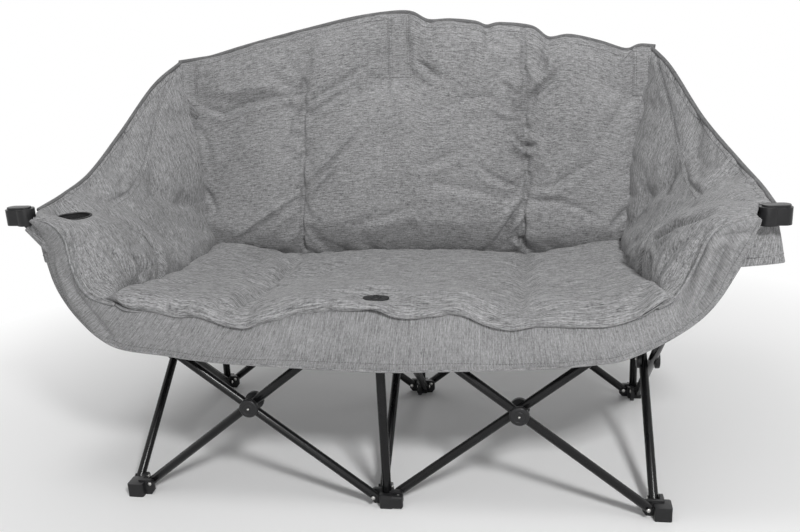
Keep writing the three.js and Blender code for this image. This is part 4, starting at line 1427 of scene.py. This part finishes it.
class LOVESEAT_OT_wings(bpy.types.Operator):
    """Side panels between the back and the arms, with their bound upper edge"""

    bl_idname = "loveseat.wings"
    bl_label = "Wings"

    def execute(self, context):
        for side, sign in SIDES:
            nu, nv = grid_size(0.54, 0.46)
            upper = np.array(WING_TOP[side])
            rows = [upper, (upper + WING_ROWS[0]) / 2, *WING_ROWS]
            inner = loft([mirrored(row, sign) for row in rows], nu, nv)
            outward = sheet_normals(inner) * sign
            full = crown(nu, nv)[:, :, None]
            outer = inner + outward * (0.005 + 0.008 * full)
            base = inner.copy()
            inner = inner - outward * 0.007 * full
            plane = (inner.reshape(-1, 3)[:, 1:] - (SHIFT, 0)) * 1000
            gap, _, _ = line_distance(plane, WING_SEAM)
            seam = np.nonzero(gap < 4.5)[0]
            piece = pad_piece(f"{side}_wing_panel", inner, outer, turned=True)
            swell(piece, rim_and(inner.shape, seam), 2.2, 0.035, cap=0.014)
            finer(piece)
            shape_front(piece, lambda p: self.folds(p, sign))
            if side == "left":
                cut_cup(piece)
            dress(piece, "cloth")
            self.trim(side, sign, piece, base)
            sewn(piece, side, f"{side}_wing")
        return {"FINISHED"}

    @staticmethod
    def folds(points, sign):
        plane = points[:, 1:]
        gap, _, _ = line_distance(plane, WING_SEAM)
        lift = crease_lift(plane, WING_CREASES) - 2.5 * np.exp(-((gap / 4.0) ** 2))
        return lift + rumple(points, 60.0, 1.6, 5 + sign) + rumple(points, 22.0, 0.5, 8 + sign)

    @staticmethod
    def trim(side, sign, piece, base):
        edge = even(base[:, 0] + (0.002 * sign, 0.0, 0.0), 160)
        binding = tube_along(f"{side}_wing_binding", edge, 0.0042)
        # Its darker cloth is painted shade along the upper edge
        sewn(dress(binding, "binding"), side)
        tree = surface_of(piece)
        lines = [on_surface(tree, even(base[3:-3, 2], 120), (sign, 0.2, -0.3), 0.0002)]
        for shift in (-5, 5):
            seam = [(sign * 560, y, z + shift) for y, z in WING_SEAM]
            places = even(np.array(seam, float) / 1000 + (0, SHIFT, 0), 120)
            lines.append(on_surface(tree, places, (sign, 0, 0), 0.0002))
        sewn(stitches(f"{side}_wing_stitching", lines), side)


def cut_cup(piece):
    """Opens a pad over the cup holder: it is levelled there and the opening's edge drawn onto a circle."""
    mesh = piece.data

    def from_axis(v):
        return math.hypot(v.co.x - CUP.x, v.co.y - CUP.y)

    for v in mesh.vertices:
        near = min(1.0, max(0.0, (CUP_RADIUS + 0.03 - from_axis(v)) / 0.03))
        inside = min(1.0, max(0.0, (v.co.x + 0.66) / 0.014))
        if abs(v.co.z - CUP.z) < 0.03:
            v.co.z += (CUP.z - v.co.z) * near * near * (3 - 2 * near) * inside
    select_faces(piece, lambda c, n: False)
    bpy.ops.object.mode_set(mode="EDIT")
    bpy.ops.mesh.select_mode(type="VERT")
    bpy.ops.object.mode_set(mode="OBJECT")
    for v in mesh.vertices:
        v.select = from_axis(v) < CUP_RADIUS
    edit(piece, lambda: bpy.ops.mesh.delete(type="VERT"))
    uses = Counter(key for face in mesh.polygons for key in face.edge_keys)
    for i in {i for key, count in uses.items() if count == 1 for i in key}:
        v = mesh.vertices[i]
        share = CUP_RADIUS / from_axis(v)
        v.co.x = CUP.x + (v.co.x - CUP.x) * share
        v.co.y = CUP.y + (v.co.y - CUP.y) * share


class LOVESEAT_OT_arms(bpy.types.Operator):
    """Padded arms, with the cup holder in the left one"""

    bl_idname = "loveseat.arms"
    bl_label = "Arms"

    def execute(self, context):
        for side, sign in SIDES:
            nu, nv = grid_size(0.25, 0.3)
            rows = [row + [tip] for row, tip in zip(ARM_ROWS, arm_front(side, len(ARM_ROWS)))]
            inner = loft([mirrored(row, sign) for row in rows], nu, nv)
            outward = sheet_normals(inner) * -sign
            full = crown(nu, nv)[:, :, None]
            outer = inner + outward * (0.006 + 0.012 * full)
            inner = inner - outward * 0.01 * full
            piece = pad_piece(f"{side}_arm_cushion", inner, outer, turned=True)
            swell(piece, rim_and(inner.shape), 3.0, 0.03, cap=0.009)
            finer(piece)
            shape_front(piece, lambda p: self.folds(p, sign))
            if side == "left":
                cut_cup(piece)
            dress(piece, "cloth")
            sewn(piece, side, f"{side}_arm_pad")
            self.sleeve(side, sign)
        self.cup()
        return {"FINISHED"}

    @staticmethod
    def sleeve(side, sign):
        """The cloth's edge wrapped around the arm tube, between the band and the arm end."""
        node = f"{side}_arm_tube"
        foot, run, across, turn = next(t[2:6] for t in scissor_tubes() if t[0] == node)
        start, way = tube_line(foot, run, across, turn)
        bend, tip = arm_line(start, way, sign)
        line = [bend.lerp(tip, share) for share in np.linspace(0.2, 0.93, 5)]
        piece = tube_along(f"{side}_arm_sleeve", even(np.array(line), 40), 0.0128, 20)
        ridden(dress(piece, "cloth"), node)

    @staticmethod
    def folds(points, sign):
        lift = crease_lift(points[:, 1:], ARM_CREASES["left" if sign < 0 else "right"])
        return lift + rumple(points, 50.0, 2.2, 11 + sign) + rumple(points, 20.0, 0.8, 14 + sign)

    @staticmethod
    def cup():
        """Lined cup holder, sunk to the level of the cloth around it."""
        r = CUP_RADIUS
        profile = [
            (r * 0.9, -0.088), (r * 0.94, -0.086), (r + 0.0006, 0.0),
            (r - 0.0006, 0.0), (r * 0.9, -0.084), (r * 0.1, -0.085),
        ]
        liner = turned_cap("cup_liner_net", profile, Matrix.Translation(CUP), 64)
        sewn(dress(liner, "lining"), "left", "left_cup_liner")
        turn = np.linspace(0, 2 * np.pi, 64, endpoint=False)
        circle = np.stack([np.cos(turn), np.sin(turn), 0 * turn], axis=1) * (r + 0.001)
        ring = tube_along("cup_rim", circle + np.array(CUP), 0.0024, 10, closed=True)
        sewn(dress(ring, "plastic"), "left")


class LOVESEAT_OT_band(bpy.types.Operator):
    """Front band: the valance below the seat, which runs up in front of both arms"""

    bl_idname = "loveseat.band"
    bl_label = "Front band"

    def execute(self, context):
        nu, nv = grid_size(1.75, 0.11)
        below = [(x, z + 5, x * 0.97, height_at(BAND_HEM, x)) for x, z in SEAT_SEAM if abs(x) < 465]
        both = [(-a, b, -c, d) for a, b, c, d in reversed(ARM_FRONT["left"])] + below + ARM_FRONT["right"]

        def turned_back(a, b):
            """How far the hem goes back around an arm, less towards the arm's end."""
            beside = min(1, max(0, (abs(a) - 500) / 50))
            return (40 if a < 0 else 10) * beside * min(1, max(0.2, (610 - b) / 60))

        def row(share, y):
            points = []
            for a, b, c, d in both:
                back = turned_back(a, b) * share
                x = a + (c - a) * share + math.copysign(0.8 * back, a)
                points.append((x, y + back, b + (d - b) * share))
            return points

        depths = ((0, -303), (0.09, -308), (0.3, -312), (0.6, -315), (0.9, -313), (1, -310))
        face = loft([row(*depth) for depth in depths], nu, nv)
        piece = pad_piece("whole_band", face, face + (0, 0.006, 0), turned=True)
        finer(piece)
        shape_front(piece, self.folds)
        tree = surface_of(piece)
        first, last = (int(np.argmax(face[:, -1, 0] > x)) for x in (-BAND_PART, BAND_PART))
        runs = {"left": slice(0, first + 1), "seat": slice(first, last + 1), "right": slice(last, None)}
        for part, run in runs.items():
            self.part(piece, part)
            count = 3 * len(face[run])
            hem = tube_along(f"front_hem_{part}", even(face[run, -1] + (0, 0.002, 0.001), count), 0.0034, 10)
            sewn(dress(hem, "cloth"), part)
            lines = [on_surface(tree, even(face[run, nv - 3], count), (0, 1, 0), 0.0002)]
            sewn(stitches(f"front_hem_stitching_{part}", lines), part)
        bpy.data.objects.remove(piece)
        for side, sign in SIDES:
            line = np.array(mirrored(arm_front(side, 40), sign)) / 1000 + (0, SHIFT - 0.007, 0)
            cord = tube_along(f"{side}_arm_piping", even(line, 140), cover().piping, 10)
            sewn(dress(cord, "cloth"), side)
        return {"FINISHED"}

    @staticmethod
    def part(band, part):
        """One part of the band: below the seat, or in front of an arm, with which it folds."""
        name = "front_band_cloth" if part == "seat" else f"{part}_arm_facing"
        piece = copied(band, name)
        cuts = {
            "left": [(-BAND_PART, 1)],
            "seat": [(-BAND_PART, -1), (BAND_PART, 1)],
            "right": [(BAND_PART, -1)],
        }
        for x, away in cuts[part]:
            plane = {"plane_co": (x, 0, 0), "plane_no": (away, 0, 0)}
            edit(piece, all_selected, lambda: bpy.ops.mesh.bisect(**plane, use_fill=True, clear_outer=True))
        smoothed(piece, 60)
        dress(piece, "band cloth")
        sewn(piece, part, *(["front_band"] if part == "seat" else []))

    @staticmethod
    def folds(points):
        lift = crease_lift(points[:, [0, 2]], BAND_CREASES)
        return lift + rumple(points, 80.0, 2.4, 21) + rumple(points, 28.0, 0.8, 22)


class LOVESEAT_OT_flaps(bpy.types.Operator):
    """Pocket flaps that hang outside the arms"""

    bl_idname = "loveseat.flaps"
    bl_label = "Flaps"

    def execute(self, context):
        for side, sign in SIDES:
            nu, nv = 60, 22
            upper, hem = np.array(FLAP_TOP[side], float), np.array(FLAP_HEM[side], float)
            rows = []
            for share, out in ((0, 0), (0.12, 5), (0.35, 8), (0.7, 4), (1, 0)):
                rows.append(mirrored((upper * (1 - share) + hem * share + (out, 0, 0)).tolist(), sign))
            face = loft(rows, nu, nv)
            outward = sheet_normals(face) * sign
            wave = np.sin(np.linspace(0, 9, nu))[:, None, None] * np.linspace(0, 1, nv)[None, :, None]
            face = face + outward * 0.003 * wave
            piece = pad_piece(f"{side}_flap_cloth", face, face - outward * 0.004, turned=True)
            finer(piece)
            dress(piece, "cloth")
            tree = surface_of(piece)
            lines = [on_surface(tree, even(face[2:-2, nv - 4], 90), (-sign, 0, 0), 0.0002)]
            sewn(stitches(f"{side}_flap_stitching", lines), side)
            sewn(piece, side, f"{side}_flap")
        return {"FINISHED"}


# Stage

# Rays that see the white of the background
SEEN_RAYS = ("Is Camera Ray", "Is Glossy Ray", "Is Transmission Ray")
# What the lamps point at
LAMP_AIM = Vector((0, 0, 0.45))
# Light that the world gives, and how bright it looks
WORLD_LIGHT = 0.27
WORLD_SEEN = 1.0


class LOVESEAT_OT_stage(bpy.types.Operator):
    """Camera, floor and lights"""

    bl_idname = "loveseat.stage"
    bl_label = "Stage"

    def execute(self, context):
        self.camera(context)
        self.floor()
        self.lights(context)
        context.scene.view_settings.view_transform = "Standard"
        return {"FINISHED"}

    @staticmethod
    def camera(context):
        yaw, pitch, roll = math.radians(9.9), math.radians(16.6), math.radians(-2.83)
        level = Vector((math.cos(yaw), math.sin(yaw), 0))
        ahead = Vector((-math.sin(yaw) * math.cos(pitch), math.cos(yaw) * math.cos(pitch), -math.sin(pitch)))
        upright = level.cross(ahead)
        right = level * math.cos(roll) + upright * math.sin(roll)
        above = upright * math.cos(roll) - level * math.sin(roll)
        data = bpy.data.cameras.new("view")
        data.lens = 38.34
        data.sensor_width = 36.0
        data.sensor_fit = "HORIZONTAL"
        camera = bpy.data.objects.new("view", data)
        context.scene.collection.objects.link(camera)
        matrix = Matrix((right, above, -ahead)).transposed().to_4x4()
        matrix.translation = (0.3045, -1.7114, 0.93975)
        camera.matrix_world = matrix
        context.scene.camera = camera

    @staticmethod
    def floor():
        bpy.ops.mesh.primitive_plane_add(size=60, location=(0, 0, -0.0004))
        floor = named("studio_floor")
        f = Finish("floor")
        place = f.place()
        cloud = f.noise(place, 2.0, 3.0)
        colour = bpy.context.scene.loveseat_stage.floor
        tone = f.colour_mix(cloud, rgba(colour, 0.985), rgba(colour, 1.0))
        f.surface(Base_Color=tone, Roughness=0.95)
        path = f.tree.nodes.new("ShaderNodeLightPath")
        seen = [Value(f, path.outputs[key]) for key in SEEN_RAYS]
        away = f.add("ShaderNodeVectorMath", {"operation": "LENGTH"}, place, out="Value")
        far = ((away - 0.55) * 0.9).clamped()
        white = f.add("ShaderNodeEmission", None, (1, 1, 1, 1), 1.0)
        mixed = f.add("ShaderNodeMixShader", None, (seen[0] + seen[1] + seen[2]).clamped() * far)
        node = mixed.socket.node
        f.tree.links.new(f.shader.outputs[0], node.inputs[1])
        f.put(node.inputs[2], white)
        f.put(f.tree.nodes["Material Output"].inputs["Surface"], mixed)
        floor.data.materials.append(f.material)

    @staticmethod
    def lights(context):
        props = context.scene.loveseat_stage
        world = bpy.data.worlds.new("studio")
        context.scene.world = world
        world.use_nodes = True
        tree = world.node_tree
        backdrop = tree.nodes["Background"]
        backdrop.inputs[0].default_value = (1, 1, 1, 1)
        path = tree.nodes.new("ShaderNodeLightPath")
        strength = tree.nodes.new("ShaderNodeMapRange")
        strength.inputs["To Min"].default_value = WORLD_LIGHT
        strength.inputs["To Max"].default_value = WORLD_SEEN
        seen = path.outputs[SEEN_RAYS[0]]
        for key in SEEN_RAYS[1:]:
            both = tree.nodes.new("ShaderNodeMath")
            both.operation = "MAXIMUM"
            tree.links.new(seen, both.inputs[0])
            tree.links.new(path.outputs[key], both.inputs[1])
            seen = both.outputs[0]
        tree.links.new(seen, strength.inputs["Value"])
        tree.links.new(strength.outputs[0], backdrop.inputs[1])
        for name, power, place, size in (
            ("key", props.key, (1.1, -2.2, 2.3), 0.4),
            ("top", props.fill, (-0.5, -0.6, 2.8), 0.6),
            ("low", props.fill * 0.42, (0.2, -2.6, 0.7), 1.0),
            ("rear", props.fill * 0.6, (0.6, 2.4, 2.2), 1.6),
        ):
            data = bpy.data.lights.new(name, "AREA")
            data.energy = power
            data.size = size
            lamp = bpy.data.objects.new(name, data)
            context.scene.collection.objects.link(lamp)
            lamp.location = place
            lamp.rotation_euler = (LAMP_AIM - Vector(place)).to_track_quat("-Z", "Y").to_euler()


class LOVESEAT_PT_panel(bpy.types.Panel):
    """The steps of the loveseat"""

    bl_idname = "LOVESEAT_PT_panel"
    bl_label = "Folding loveseat"
    bl_space_type = "VIEW_3D"
    bl_region_type = "UI"
    bl_category = "Loveseat"

    def draw(self, context):
        for step in STEPS:
            self.layout.operator(step.bl_idname)
        scene = context.scene
        for group in (scene.loveseat_cover, scene.loveseat_frame, scene.loveseat_stage):
            box = self.layout.box()
            for key in group.__annotations__:
                box.prop(group, key)


STEPS = (
    LOVESEAT_OT_stage, LOVESEAT_OT_tubes, LOVESEAT_OT_poles, LOVESEAT_OT_hubs, LOVESEAT_OT_caps,
    LOVESEAT_OT_back, LOVESEAT_OT_seat, LOVESEAT_OT_wings, LOVESEAT_OT_arms, LOVESEAT_OT_band,
    LOVESEAT_OT_flaps,
)
GROUPS = (LoveseatCover, LoveseatFrame, LoveseatStage)


def register():
    for item in GROUPS + STEPS + (LOVESEAT_PT_panel,):
        bpy.utils.register_class(item)
    scene = bpy.types.Scene
    scene.loveseat_cover = bpy.props.PointerProperty(type=LoveseatCover)
    scene.loveseat_frame = bpy.props.PointerProperty(type=LoveseatFrame)
    scene.loveseat_stage = bpy.props.PointerProperty(type=LoveseatStage)


def unregister():
    for key in ("loveseat_cover", "loveseat_frame", "loveseat_stage"):
        delattr(bpy.types.Scene, key)
    for item in reversed(GROUPS + STEPS + (LOVESEAT_PT_panel,)):
        bpy.utils.unregister_class(item)


def main():
    register()
    for step in STEPS:
        group, action = step.bl_idname.split(".")
        getattr(getattr(bpy.ops, group), action)()


if __name__ == "__main__":
    main()
